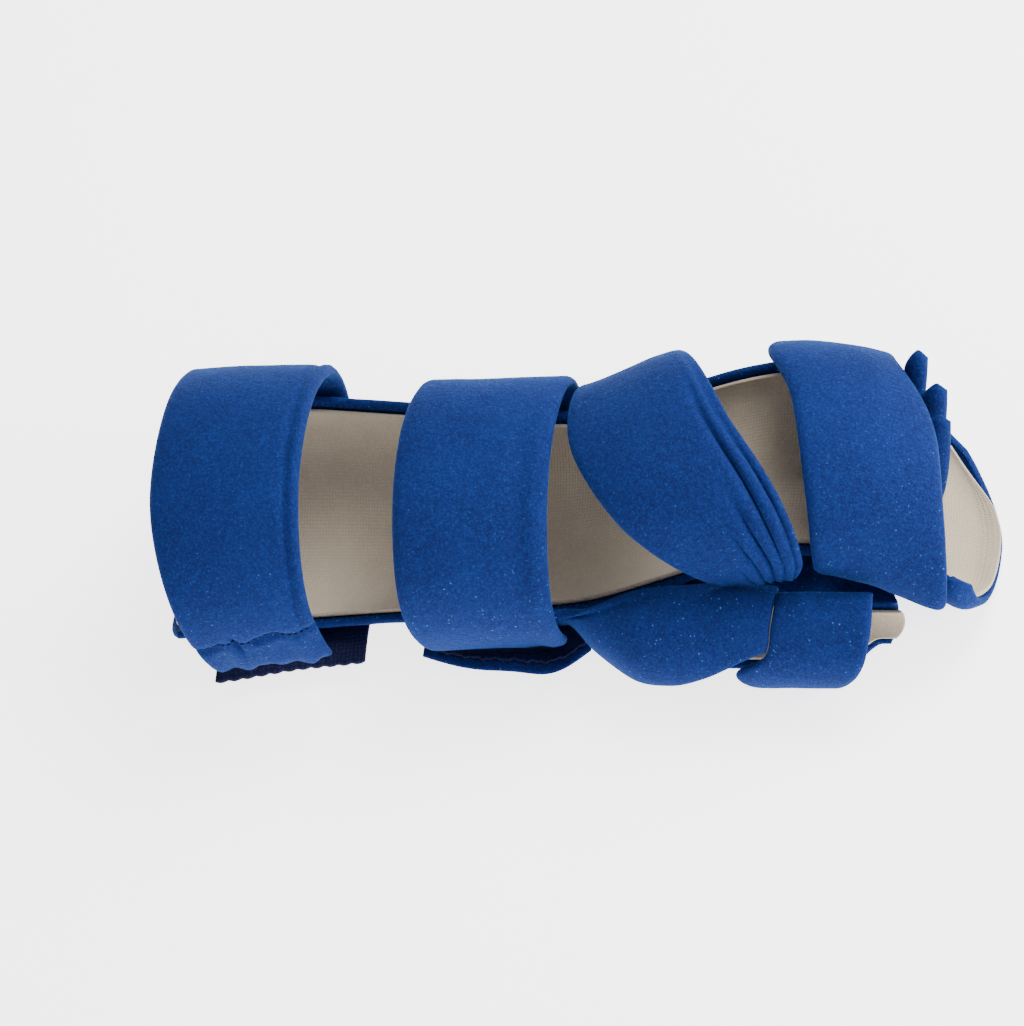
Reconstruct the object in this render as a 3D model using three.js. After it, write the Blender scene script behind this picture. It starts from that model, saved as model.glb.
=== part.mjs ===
// A padded resting splint for a left forearm, wrist, fingers and thumb, fastened over the top with straps.
// Millimetres. +X runs from the elbow end to the finger end, +Z is up, and the thumb side faces -Y.
import * as THREE from "three";

// Driving sizes
const splintLength = 332;
const forearmHalfWidth = 47;
const troughDepth = 47;
const strapCrown = 46;
const palmRise = 32;
const handShift = 18;
const coverThickness = 3.4;
const liningThickness = 1.8;
const liningInset = 4.5;
const liningEase = 0.7;
const pieceGap = 0.3;
const baseFlat = 1.2;
const tipSetback = 5;
const farSetback = 15;
const strapThickness = 5;
const strapWidth = 61;
const strapSlack = 9;
const handStrapThickness = 4.6;
const pleatDepth = 2.6;
const pleatCount = 3;
const fingerStrapWidth = 52;
const tabThickness = 2;
const hookThickness = 1.2;
const hookInset = 1.6;
const tabReach = 25;
const tabLipHeight = 7;
const thumbRadius = 16;
const thumbWall = 2.6;
const thumbLiningThickness = 1.4;
const thumbLength = 92;
const thumbSpread = 45;
const thumbStrapWidth = 38;
const thumbStrapThickness = 4.2;
const thenarStrapThickness = 4;
const separatorThickness = 5;
const separatorHeight = 30;
const separatorLength = 52;
const separatorTop = 66;
const separatorLean = 10;
const separatorSlant = 8;

// Finishes
const clothBlue = new THREE.MeshStandardMaterial({ color: 0x1a4a9c, roughness: 0.95, metalness: 0 });
const clothTan = new THREE.MeshStandardMaterial({ color: 0xc9bfa6, roughness: 0.95, metalness: 0 });
const hookNavy = new THREE.MeshStandardMaterial({ color: 0x0b0c38, roughness: 0.9, metalness: 0 });

// Sections of the oval that the splint and its straps follow, from the elbow end to the finger end.
// at: share of the length; side, rise: shares of handShift and palmRise; near, far: of forearmHalfWidth;
// below: of troughDepth; above: of strapCrown; nearRim, farRim: degrees above the oval's middle.
const sections = [
  { at: 0.0, side: 0.0, rise: 0.0, near: 1.24, far: 1.15, below: 1.0, above: 1.0, nearRim: -38, farRim: 5 },
  { at: 0.13, side: 0.0, rise: 0.0, near: 1.13, far: 1.11, below: 1.0, above: 0.98, nearRim: -39, farRim: 9 },
  { at: 0.27, side: 0.0, rise: 0.0, near: 1.0, far: 1.03, below: 0.98, above: 0.93, nearRim: -38, farRim: 12 },
  { at: 0.4, side: 0.06, rise: 0.0, near: 0.94, far: 0.98, below: 0.92, above: 0.88, nearRim: -36, farRim: 11 },
  { at: 0.51, side: 0.24, rise: 0.08, near: 0.94, far: 1.0, below: 0.79, above: 0.87, nearRim: -36, farRim: 6 },
  { at: 0.61, side: 0.55, rise: 0.44, near: 0.96, far: 1.09, below: 0.66, above: 0.9, nearRim: -34, farRim: 2 },
  { at: 0.71, side: 0.83, rise: 0.86, near: 0.94, far: 1.05, below: 0.56, above: 0.76, nearRim: -23, farRim: 4 },
  { at: 0.78, side: 0.95, rise: 1.0, near: 0.93, far: 1.0, below: 0.51, above: 0.64, nearRim: -8, farRim: 6 },
  { at: 0.86, side: 1.0, rise: 0.72, near: 0.94, far: 0.97, below: 0.5, above: 0.68, nearRim: -2, farRim: 2 },
  { at: 0.905, side: 0.95, rise: 0.44, near: 0.96, far: 0.93, below: 0.5, above: 0.7, nearRim: 8, farRim: -12 },
  { at: 0.94, side: 0.88, rise: 0.2, near: 0.98, far: 0.8, below: 0.5, above: 0.72, nearRim: 16, farRim: -16 },
  { at: 0.97, side: 0.78, rise: 0.05, near: 0.98, far: 0.66, below: 0.5, above: 0.7, nearRim: 22, farRim: -16 },
  { at: 1.0, side: 0.7, rise: 0.0, near: 0.8, far: 0.48, below: 0.46, above: 0.66, nearRim: 6, farRim: -12 },
];

const radians = THREE.MathUtils.degToRad;
const slopeStep = 0.5;

// A row of a table at a place between its rows, each column on a smooth curve.
function rowAt(table, at) {
  let last = 1;
  while (last < table.length - 1 && table[last].at < at) last += 1;
  const from = table[last - 1];
  const to = table[last];
  const before = table[Math.max(last - 2, 0)];
  const after = table[Math.min(last + 1, table.length - 1)];
  const span = to.at - from.at;
  const t = THREE.MathUtils.clamp((at - from.at) / span, 0, 1);
  const row = {};
  for (const key of Object.keys(from)) {
    const startSlope = ((to[key] - before[key]) / (to.at - before.at)) * span;
    const endSlope = ((after[key] - from[key]) / (after.at - from.at)) * span;
    const bend = t * t * (3 - 2 * t);
    const ease = t * (1 - t);
    const curve = ease * ((1 - t) * startSlope - t * endSlope);
    row[key] = from[key] + (to[key] - from[key]) * bend + curve;
  }
  return row;
}

// The oval's own sizes at a distance along the splint.
function ovalAt(x) {
  const row = rowAt(sections, x / splintLength);
  const below = row.below * troughDepth;
  return {
    side: row.side * handShift,
    height: row.rise * palmRise + below - baseFlat,
    near: row.near * forearmHalfWidth,
    far: row.far * forearmHalfWidth,
    below,
    above: row.above * strapCrown,
    nearTurn: -180 - row.nearRim,
    farTurn: row.farRim,
  };
}

// A point on the oval: turn is 0 on the far side, 90 on top, 180 or -180 on the thumb side and -90 below.
function onOval(x, turn) {
  const o = ovalAt(x);
  const c = Math.cos(radians(turn));
  const s = Math.sin(radians(turn));
  const width = c > 0 ? o.far : o.near;
  const height = s > 0 ? o.above : o.below;
  return new THREE.Vector3(x, o.side + width * c, o.height + height * s);
}

// A point that stands off the oval's surface, square to it, by a distance.
function offOval(x, turn, off) {
  const from = Math.max(x - slopeStep, 0);
  const to = Math.min(x + slopeStep, splintLength);
  const lengthwise = onOval(to, turn).sub(onOval(from, turn));
  const roundwise = onOval(x, turn + slopeStep).sub(onOval(x, turn - slopeStep));
  const outward = roundwise.cross(lengthwise).normalize();
  return onOval(x, turn).addScaledVector(outward, off);
}

// Shares across a piece and how full it is there, so that its edges are rounded over half its thickness.
// crowd: over 1 where the steps between the edges are closer together towards the last edge.
function roundedSteps(width, thickness, middles, crowd = 1) {
  const radius = Math.min(thickness / 2, width / 3);
  const shares = [];
  const edge = [0, 0.2, 1];
  for (const step of edge) shares.push((step * radius) / width);
  const span = 1 - 2 * shares[2];
  for (let i = 1; i < middles; i += 1) shares.push(shares[2] + span * (1 - (1 - i / middles) ** crowd));
  for (const step of edge.slice().reverse()) shares.push(1 - (step * radius) / width);
  return shares.map((share) => {
    const inset = Math.min(share, 1 - share) * width;
    const fall = 1 - Math.min(inset / radius, 1);
    return { share, full: Math.sqrt(1 - fall * fall) };
  });
}

// A closed padded sheet round a middle surface: point(u, v), u along it and v across it, both from 0 to 1.
function paddedSheet({
  point, length, width, thickness, alongSteps, acrossSteps, crowd = 1, floor = -Infinity,
}) {
  const along = roundedSteps(length, thickness, alongSteps, crowd);
  const across = roundedSteps(width, thickness, acrossSteps);
  const grid = along.map((row) => across.map((column) => point(row.share, column.share)));
  const rows = along.length;
  const columns = across.length;
  const positions = [];
  const within = (k, count) => THREE.MathUtils.clamp(k, 0, count - 1);
  const pick = (i, j) => grid[within(i, rows)][within(j, columns)];
  for (const face of [1, -1]) {
    for (let i = 0; i < rows; i += 1) {
      for (let j = 0; j < columns; j += 1) {
        const lengthwise = pick(i + 1, j).clone().sub(pick(i - 1, j));
        const crosswise = pick(i, j + 1).clone().sub(pick(i, j - 1));
        const normal = lengthwise.cross(crosswise).normalize();
        const full = Math.min(along[i].full, across[j].full);
        const place = grid[i][j].clone().addScaledVector(normal, (face * full * thickness) / 2);
        positions.push(place.x, place.y, Math.max(place.z, floor));
      }
    }
  }
  const sheet = rows * columns;
  const edgeOf = (i, j) => i === 0 || j === 0 || i === rows - 1 || j === columns - 1;
  const vertex = (face, i, j) => (face && !edgeOf(i, j) ? sheet : 0) + i * columns + j;
  const index = [];
  for (let i = 0; i < rows - 1; i += 1) {
    for (let j = 0; j < columns - 1; j += 1) {
      for (const face of [0, 1]) {
        const corners = [
          vertex(face, i, j), vertex(face, i + 1, j), vertex(face, i + 1, j + 1), vertex(face, i, j + 1),
        ];
        if (face) corners.reverse();
        index.push(corners[0], corners[1], corners[2], corners[0], corners[2], corners[3]);
      }
    }
  }
  const geometry = new THREE.BufferGeometry();
  geometry.setAttribute("position", new THREE.Float32BufferAttribute(positions, 3));
  geometry.setIndex(index);
  if (signedVolume(geometry) < 0) geometry.setIndex(index.slice().reverse());
  geometry.computeVertexNormals();
  return geometry;
}

// Six times the volume inside a closed mesh, below zero where its faces point inwards.
function signedVolume(geometry) {
  const place = geometry.attributes.position;
  const corner = (k) => new THREE.Vector3().fromBufferAttribute(place, geometry.index.getX(k));
  let sum = 0;
  for (let k = 0; k < geometry.index.count; k += 3) {
    sum += corner(k).dot(corner(k + 1).cross(corner(k + 2)));
  }
  return sum;
}

const model = new THREE.Group();

function addPiece(name, geometry, material) {
  const mesh = new THREE.Mesh(geometry, material);
  mesh.name = name;
  model.add(mesh);
}

const mix = THREE.MathUtils.lerp;

const stepCrowd = 1.35;

// How far along the splint a share of it lies: its finger end is set back towards the rims, most on the far side.
function alongSplint(from, to, u, v) {
  return mix(from, to, u) - mix(tipSetback, farSetback, v ** 3) * u ** 20 * (2 * v - 1) ** 2;
}

// The blue cover: one long trough under the forearm, palm and fingers.
function splintCover() {
  const point = (u, v) => {
    const x = alongSplint(0, splintLength, u, v);
    const o = ovalAt(x);
    return offOval(x, mix(o.nearTurn, o.farTurn, v), -coverThickness / 2);
  };
  const width = (forearmHalfWidth * Math.PI * 5) / 6;
  return paddedSheet({
    point, length: splintLength, width, thickness: coverThickness, alongSteps: 22, acrossSteps: 12,
    crowd: stepCrowd, floor: 0,
  });
}

// The tan lining inside the cover, a little short of its rims and ends.
function splintLining() {
  const inset = liningInset / forearmHalfWidth;
  const insetTurn = THREE.MathUtils.radToDeg(inset);
  const point = (u, v) => {
    const x = alongSplint(liningInset, splintLength - liningInset, u, v);
    const o = ovalAt(x);
    const turn = mix(o.nearTurn + insetTurn, o.farTurn - insetTurn, v);
    return offOval(x, turn, -coverThickness - pieceGap - liningEase - liningThickness / 2);
  };
  const width = (forearmHalfWidth * Math.PI * 5) / 6;
  return paddedSheet({
    point, length: splintLength, width, thickness: liningThickness, alongSteps: 22, acrossSteps: 12,
    crowd: stepCrowd,
  });
}

// A strap over the top. Its rows run from its far end to its thumb-side end.
// turn: degrees round the oval; off: share of strapSlack that it stands off the cover.
// start, end: mm along the splint.
// slant: degrees by which its thumb-side end falls short on the finger side.
function strapOver({ rows, thickness, width, alongSteps, acrossSteps, slant = 0, extra = () => 0 }) {
  const point = (u, v) => {
    const row = rowAt(rows, u);
    const x = mix(row.start, row.end, v);
    const off = pieceGap + thickness / 2 + row.off * strapSlack + extra(u, v);
    return offOval(x, row.turn - slant * v * u ** 4, off);
  };
  const length = forearmHalfWidth * Math.PI * 1.5;
  return paddedSheet({ point, length, width, thickness, alongSteps, acrossSteps });
}

// Rows of a strap that goes straight over.
// slip: share of its width that it moves along; wide: share of its width that shows.
function straightRows(start, width, table) {
  return table.map(({ at, turn, off, slip, wide }) => {
    const from = start + slip * width;
    return { at, turn, off, start: from, end: from + wide * width };
  });
}

const upperStrapStart = splintLength * 0.009;
const upperStrapRows = straightRows(upperStrapStart, strapWidth, [
  { at: 0.0, turn: -58, off: 0.05, slip: 0.03, wide: 1.0 },
  { at: 0.18, turn: -15, off: 0.08, slip: 0.02, wide: 1.0 },
  { at: 0.34, turn: 30, off: 0.42, slip: 0.01, wide: 1.0 },
  { at: 0.5, turn: 75, off: 0.2, slip: 0.0, wide: 1.0 },
  { at: 0.66, turn: 120, off: 0.1, slip: 0.01, wide: 0.99 },
  { at: 0.85, turn: 175, off: 0.4, slip: 0.17, wide: 0.86 },
  { at: 1.0, turn: 215, off: 0.66, slip: 0.27, wide: 0.81 },
]);
const upperStrapSlant = 11;

const lowerStrapStart = splintLength * 0.3042;
const lowerStrapRows = straightRows(lowerStrapStart, strapWidth, [
  { at: 0.0, turn: -56, off: 0.05, slip: 0.03, wide: 1.0 },
  { at: 0.18, turn: -15, off: 0.12, slip: 0.03, wide: 1.0 },
  { at: 0.34, turn: 30, off: 0.6, slip: 0.02, wide: 1.0 },
  { at: 0.5, turn: 75, off: 0.25, slip: 0.0, wide: 1.0 },
  { at: 0.66, turn: 120, off: 0.15, slip: 0.0, wide: 1.0 },
  { at: 0.85, turn: 175, off: 0.72, slip: 0.02, wide: 0.98 },
  { at: 1.0, turn: 212, off: 0.76, slip: 0.1, wide: 0.92 },
]);

// How much nearer the straps' tops lie to the arm, in mm, at their elbow side and at their finger side.
const upperCrown = { elbowSide: -5, fingerSide: 0.4 };
const lowerCrown = { elbowSide: -4.5, fingerSide: 0 };
const handCrown = { elbowSide: -4.5, fingerSide: -1.8 };

function crownAt(crown, u, v) {
  const over = THREE.MathUtils.smoothstep(u, 0.16, 0.4) * (1 - THREE.MathUtils.smoothstep(u, 0.56, 0.82));
  return mix(crown.elbowSide, crown.fingerSide, v) * over;
}

function forearmStrap(rows, slant, crown) {
  return strapOver({
    rows, thickness: strapThickness, width: strapWidth, alongSteps: 20, acrossSteps: 2, slant,
    extra: (u, v) => crownAt(crown, u, v),
  });
}

// The strap that crosses the back of the hand and gathers into pleats beside the thumb.
const handStrapRows = [
  { at: 0.0, turn: -30, off: 0.05, start: 0.5, end: 0.59 },
  { at: 0.22, turn: 12, off: 0.3, start: 0.497, end: 0.615 },
  { at: 0.4, turn: 45, off: 0.5, start: 0.495, end: 0.645 },
  { at: 0.6, turn: 90, off: 0.25, start: 0.51, end: 0.7 },
  { at: 0.8, turn: 137, off: 0.2, start: 0.575, end: 0.765 },
  { at: 0.93, turn: 175, off: 0.25, start: 0.655, end: 0.79 },
  { at: 1.0, turn: 196, off: 0.3, start: 0.69, end: 0.775 },
].map((row) => ({ ...row, start: row.start * splintLength, end: row.end * splintLength }));

function handStrap() {
  const extra = (u, v) => {
    const gather = THREE.MathUtils.smoothstep(u, 0.62, 1) * Math.sin(Math.PI * v);
    return pleatDepth * gather * (1 - Math.cos(2 * Math.PI * pleatCount * v)) + crownAt(handCrown, u, v);
  };
  return strapOver({
    rows: handStrapRows, thickness: handStrapThickness, width: strapWidth * 0.8, alongSteps: 18, acrossSteps: 9,
    extra,
  });
}

// The strap over the fingers, which slants towards the fingertips on the thumb side.
const fingerStrapSlant = 26;
const fingerStrapStart = splintLength * 0.722;
const fingerStrapRows = straightRows(fingerStrapStart, fingerStrapWidth, [
  { at: 0.0, turn: -40, off: 0.05, slip: 0.12, wide: 0.86 },
  { at: 0.2, turn: 5, off: 0.1, slip: 0.07, wide: 0.9 },
  { at: 0.36, turn: 35, off: 0.1, slip: 0.06, wide: 0.94 },
  { at: 0.55, turn: 80, off: 0.1, slip: 0.33, wide: 1.0 },
  { at: 0.75, turn: 135, off: 0.1, slip: 0.47, wide: 1.0 },
  { at: 0.88, turn: 180, off: 0.15, slip: 0.5, wide: 1.0 },
  { at: 1.0, turn: 208, off: 0.12, slip: 0.48, wide: 1.0 },
]);

function fingerStrap() {
  return strapOver({
    rows: fingerStrapRows, thickness: strapThickness, width: fingerStrapWidth, alongSteps: 20, acrossSteps: 3,
    slant: fingerStrapSlant,
  });
}

// The thumb's cradle runs beside the palm, with its middle high enough for the thumb strap to pass under it.
const thumbEnd = splintLength * 0.9;
const thumbStart = thumbEnd - thumbLength;
const thumbHeight = thumbRadius + pieceGap * 2 + thumbStrapThickness;
const thumbLip = -115;
const thumbTipTurn = -68;
const thumbFarTurn = 25;
const thumbEndTurn = 6;
const webTurn = -120;
const webShare = 0.34;

// A point round the thumb's middle line, with turn as on the oval.
function roundThumb(x, turn, radius) {
  const c = Math.cos(radians(turn));
  const s = Math.sin(radians(turn));
  return new THREE.Vector3(x, -thumbSpread + radius * c, thumbHeight + radius * s);
}

// The turn of the cradle's lower lip: it rises past the thumb strap, then rounds the corner of the tip.
function thumbLipAt(x) {
  const past = THREE.MathUtils.smoothstep(x, thumbEnd - thumbRadius * 1.5, thumbEnd - thumbRadius * 0.75);
  const corner = THREE.MathUtils.smoothstep(x, thumbEnd - thumbRadius / 3, thumbEnd);
  return mix(mix(thumbLip, thumbTipTurn, past), thumbTipTurn / 2, corner * corner);
}

// The turn at which the part circle ends on the palm's side, lower under the finger strap.
function thumbFarAt(x) {
  const past = x - fingerStrapStart;
  const under = THREE.MathUtils.smoothstep(past, thumbWall * 8, thumbWall * 13);
  return mix(thumbFarTurn, thumbEndTurn, under);
}

// The cradle's section: a part circle from its lower lip, then a web that reaches to the palm.
// The web dies away at the thumb's tip.
function thumbCradlePoint(x, share, radius) {
  const fade = THREE.MathUtils.smoothstep(x, thumbEnd - thumbRadius * 0.55, thumbEnd - thumbRadius * 0.25);
  const arcTurn = thumbFarAt(x);
  const arcShare = 1 - webShare;
  const onArc = Math.min(share / arcShare, 1);
  const arc = roundThumb(x, mix(thumbLipAt(x), arcTurn, onArc), radius);
  if (share <= arcShare) return arc;
  const t = (share - arcShare) / webShare;
  const seat = offOval(x, webTurn, pieceGap * 4 + thumbWall / 2);
  const corner = roundThumb(x, arcTurn, radius * 1.15);
  const web = arc.clone().multiplyScalar((1 - t) * (1 - t));
  web.addScaledVector(corner, 2 * t * (1 - t)).addScaledVector(seat, t * t);
  const lip = roundThumb(x, arcTurn + t * 12, radius);
  return web.lerp(lip, fade);
}

function thumbCradle() {
  const cradleEnd = thumbEnd - thumbWall;
  const point = (u, v) => thumbCradlePoint(mix(thumbStart, cradleEnd, u), v, thumbRadius - thumbWall / 2);
  const width = thumbRadius * Math.PI;
  return paddedSheet({
    point, length: thumbLength, width, thickness: thumbWall, alongSteps: 12, acrossSteps: 15,
    crowd: stepCrowd,
  });
}

function thumbLining() {
  const radius = thumbRadius - thumbWall - pieceGap - liningEase - thumbLiningThickness / 2;
  const inset = liningInset / 3;
  const insetTurn = THREE.MathUtils.radToDeg(inset / radius);
  const point = (u, v) => {
    const x = mix(thumbStart + inset, thumbEnd, u);
    return roundThumb(x, mix(thumbLipAt(x) + insetTurn, thumbFarAt(x) - insetTurn / 2, v), radius);
  };
  const width = (radius * Math.PI * 2) / 3;
  return paddedSheet({
    point, length: thumbLength, width, thickness: thumbLiningThickness, alongSteps: 10, acrossSteps: 10,
    crowd: stepCrowd,
  });
}

// The thumb strap goes from the web over the thumb and under its cradle, where it slips towards the wrist.
const thumbStrapStart = thumbEnd - thumbStrapWidth * 1.27;
const thumbStrapRows = [
  { at: 0.0, turn: 62, start: 0.0, end: 1.0 },
  { at: 0.2, turn: 110, start: -0.03, end: 1.02 },
  { at: 0.36, turn: 150, start: -0.07, end: 0.96 },
  { at: 0.48, turn: 178, start: -0.34, end: 0.86 },
  { at: 0.6, turn: 205, start: -0.42, end: 0.7 },
  { at: 0.78, turn: 250, start: -0.38, end: 0.6 },
  { at: 1.0, turn: 318, start: -0.34, end: 0.6 },
];

function thumbStrap() {
  const radius = thumbRadius + pieceGap * 2 + thumbStrapThickness / 2;
  const point = (u, v) => {
    const row = rowAt(thumbStrapRows, u);
    const x = thumbStrapStart + mix(row.start, row.end, v) * thumbStrapWidth;
    return roundThumb(x, row.turn, radius);
  };
  const length = radius * Math.PI * 1.4;
  return paddedSheet({
    point, length, width: thumbStrapWidth, thickness: thumbStrapThickness, alongSteps: 16, acrossSteps: 2,
    floor: 0,
  });
}

// The strap over the thumb's base leaves the wrist's cover and bends round towards the thumb's middle line.
// leave: 0 on the cover, 1 round the thumb; top, low: degrees of its two edges; out: share of thumbRadius.
const thenarStart = lowerStrapStart + strapWidth - thenarStrapThickness;
const thenarLength = thumbStrapStart - pieceGap * 2 - thenarStart;
const thenarRows = [
  { at: 0.0, leave: 0.0, topWrist: 188, lowWrist: 214, top: 92, low: 206, out: 1.14 },
  { at: 0.07, leave: 0.0, topWrist: 188, lowWrist: 214, top: 90, low: 206, out: 1.14 },
  { at: 0.2, leave: 0.5, topWrist: 188, lowWrist: 214, top: 84, low: 208, out: 1.16 },
  { at: 0.38, leave: 0.9, topWrist: 188, lowWrist: 214, top: 74, low: 207, out: 1.22 },
  { at: 0.53, leave: 1.0, topWrist: 188, lowWrist: 214, top: 75, low: 200, out: 1.23 },
  { at: 0.72, leave: 1.0, topWrist: 188, lowWrist: 214, top: 52, low: 180, out: 1.25 },
  { at: 0.88, leave: 1.0, topWrist: 188, lowWrist: 214, top: 44, low: 160, out: 1.24 },
  { at: 1.0, leave: 1.0, topWrist: 188, lowWrist: 214, top: 46, low: 148, out: 1.16 },
];

function thenarStrap() {
  const point = (u, v) => {
    const row = rowAt(thenarRows, u);
    const x = thenarStart + u * (thenarLength - thumbStrapWidth * 0.07 * v);
    const wrist = offOval(x, mix(row.topWrist, row.lowWrist, v), pieceGap + thenarStrapThickness / 2);
    const thumb = roundThumb(x, mix(row.top, row.low, v), row.out * thumbRadius);
    return wrist.lerp(thumb, row.leave);
  };
  const width = thumbRadius * 2;
  return paddedSheet({
    point, length: thenarLength, width, thickness: thenarStrapThickness, alongSteps: 12, acrossSteps: 5,
  });
}

// A hook tab under a strap's thumb-side end: it hugs the cover, then reaches out past the strap.
const tabRoot = -121;
const tabLeave = -131;
const tabHugShare = 0.3;

function tabSheet({ start, width, thickness, off, reachAt, lipAt, inset, alongSteps, acrossSteps }) {
  const point = (u, v) => {
    const along = mix(inset / width, 1 - inset / width, u);
    const across = v * (1 - inset / tabReach);
    const hug = Math.min(across / tabHugShare, 1);
    const place = offOval(start + along * width, mix(tabRoot, tabLeave, hug), off);
    const out = Math.max(across - tabHugShare, 0) / (1 - tabHugShare);
    place.y -= out * reachAt(along);
    place.z += lipAt(along) * out * out;
    return place;
  };
  return paddedSheet({ point, length: width, width: tabReach, thickness, alongSteps, acrossSteps });
}

const upperTabStart = upperStrapStart + strapWidth * 0.25;

function upperHookTab() {
  return tabSheet({
    start: upperTabStart, width: strapWidth, thickness: tabThickness, off: pieceGap + tabThickness / 2,
    reachAt: (u) => mix(tabReach * 0.88, tabReach * 0.66, u), lipAt: () => -tabThickness,
    inset: 0, alongSteps: 8, acrossSteps: 6,
  });
}

const lowerTabStart = lowerStrapStart + hookInset;
const lowerTabWidth = strapWidth * 1.12;
const lowerTabReach = (u) => tabReach * (0.6 + 0.46 * Math.sin(Math.PI * u));
const lowerTabLip = (u) => tabLipHeight * Math.sin(Math.PI * u) * 0.5;

function lowerTabBacking() {
  return tabSheet({
    start: lowerTabStart, width: lowerTabWidth, thickness: tabThickness,
    off: pieceGap * 4 + hookThickness + tabThickness / 2,
    reachAt: lowerTabReach, lipAt: lowerTabLip, inset: 0, alongSteps: 10, acrossSteps: 6,
  });
}

function lowerHookTab() {
  return tabSheet({
    start: lowerTabStart, width: lowerTabWidth, thickness: hookThickness, off: pieceGap + hookThickness / 2,
    reachAt: lowerTabReach, lipAt: lowerTabLip, inset: hookInset, alongSteps: 10, acrossSteps: 6,
  });
}

// Three upright flaps between the fingers, standing on the lining and leaning to the far side.
const separatorStart = splintLength * 0.785;
// side: share of forearmHalfWidth from the middle line; end: share of splintLength.
// lift: shares of pieceGap that its foot stands up by; rise: share of separatorTop.
const separators = [
  { name: "finger_separator_1", side: 1.0, end: 0.918, lift: 1.7, rise: 1.11 },
  { name: "finger_separator_2", side: 0.734, end: 0.943, lift: 2.8, rise: 1.03 },
  { name: "finger_separator_3", side: 0.436, end: 0.95, lift: 4.6, rise: 1.0 },
];
const separatorProfile = [
  { at: 0.0, top: 0.8 },
  { at: 0.45, top: 0.88 },
  { at: 0.78, top: 0.9 },
  { at: 0.93, top: 1.0 },
  { at: 1.0, top: 0.93 },
];

// The height of the lining's upper face at a place on the pan.
function panHeight(x, y) {
  const o = ovalAt(x);
  const depth = coverThickness + pieceGap + liningEase + liningThickness;
  const across = (y - o.side) / ((y > o.side ? o.far : o.near) - depth);
  return o.height - (o.below - depth) * Math.sqrt(Math.max(1 - across * across, 0));
}

// The highest that a flap may reach under the finger strap's far side, and no limit past the strap's edge.
function strapUnderside(x, y) {
  const o = ovalAt(x);
  const across = (y - o.side) / (o.far + pieceGap);
  const height = o.height + o.above * Math.sqrt(Math.max(1 - across * across, 0));
  const past = Math.max(x - fingerStrapStart - fingerStrapWidth * 1.07, 0);
  return height - pieceGap * 8 + past * past * 2;
}

function fingerSeparator({ side: sideShare, end, lift, rise }) {
  const side = sideShare * forearmHalfWidth;
  const point = (u, v) => {
    const tip = end * splintLength - separatorSlant * (1 - v) * (1 - v);
    const x = mix(separatorStart, tip, u);
    const half = separatorThickness / 2;
    const reach = half + pieceGap * 3;
    const foot = Math.max(panHeight(x, side - reach), panHeight(x, side + reach)) + pieceGap * lift;
    const lean = mix(separatorLean / 2, separatorLean, u);
    const limit = strapUnderside(x, side + lean + half);
    const top = Math.min(rowAt(separatorProfile, u).top * separatorTop * rise, limit);
    return new THREE.Vector3(x, side + lean * v * v, mix(foot, top, v));
  };
  return paddedSheet({
    point, length: separatorLength, width: separatorHeight, thickness: separatorThickness,
    alongSteps: 6, acrossSteps: 4,
  });
}

addPiece("splint_cover", splintCover(), clothBlue);
addPiece("splint_lining", splintLining(), clothTan);
addPiece("thumb_cradle", thumbCradle(), clothBlue);
addPiece("thumb_lining", thumbLining(), clothTan);
addPiece("upper_forearm_strap", forearmStrap(upperStrapRows, upperStrapSlant, upperCrown), clothBlue);
addPiece("lower_forearm_strap", forearmStrap(lowerStrapRows, 0, lowerCrown), clothBlue);
addPiece("upper_hook_tab", upperHookTab(), hookNavy);
addPiece("lower_tab_backing", lowerTabBacking(), clothBlue);
addPiece("lower_hook_tab", lowerHookTab(), hookNavy);
addPiece("hand_strap", handStrap(), clothBlue);
addPiece("thenar_strap", thenarStrap(), clothBlue);
addPiece("thumb_strap", thumbStrap(), clothBlue);
addPiece("finger_strap", fingerStrap(), clothBlue);
for (const separator of separators) addPiece(separator.name, fingerSeparator(separator), clothBlue);

// The origin is under the middle of the whole splint.
const group = new THREE.Group();
const box = new THREE.Box3().setFromObject(model);
const middle = box.getCenter(new THREE.Vector3());
model.position.set(-middle.x, -middle.y, -box.min.z);
group.add(model);

export default group;
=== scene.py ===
"""A padded resting brace for a left hand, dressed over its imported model.

Sizes in the tables are millimetres from the elbow end of the brace, as in the part's own plan.
Every finished mesh is in metres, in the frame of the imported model.
"""
import math

import bmesh
import bpy
import numpy as np
from mathutils import Matrix, Vector, noise


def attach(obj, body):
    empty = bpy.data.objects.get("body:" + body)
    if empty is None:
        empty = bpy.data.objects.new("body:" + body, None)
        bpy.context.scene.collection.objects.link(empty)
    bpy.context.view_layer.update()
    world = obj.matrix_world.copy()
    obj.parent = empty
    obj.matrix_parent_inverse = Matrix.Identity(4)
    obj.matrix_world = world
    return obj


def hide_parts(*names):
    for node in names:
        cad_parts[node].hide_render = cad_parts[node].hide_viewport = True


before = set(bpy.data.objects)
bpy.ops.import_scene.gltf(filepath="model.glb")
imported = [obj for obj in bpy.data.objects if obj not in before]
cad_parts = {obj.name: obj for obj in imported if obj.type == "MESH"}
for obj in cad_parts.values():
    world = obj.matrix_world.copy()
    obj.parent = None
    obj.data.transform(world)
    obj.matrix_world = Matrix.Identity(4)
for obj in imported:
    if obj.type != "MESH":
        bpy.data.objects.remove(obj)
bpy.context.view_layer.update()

bl_info = {
    "name": "Hand brace",
    "version": (1, 0, 0),
    "blender": (4, 5, 0),
    "location": "View3D > Sidebar > Hand brace",
    "description": "Builds a padded resting brace for a left hand over its packed model",
    "category": "Add Mesh",
}

# Where the plan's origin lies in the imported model.
PLAN_SHIFT = np.array([-166.07305, -1.65922, 0.0])

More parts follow.
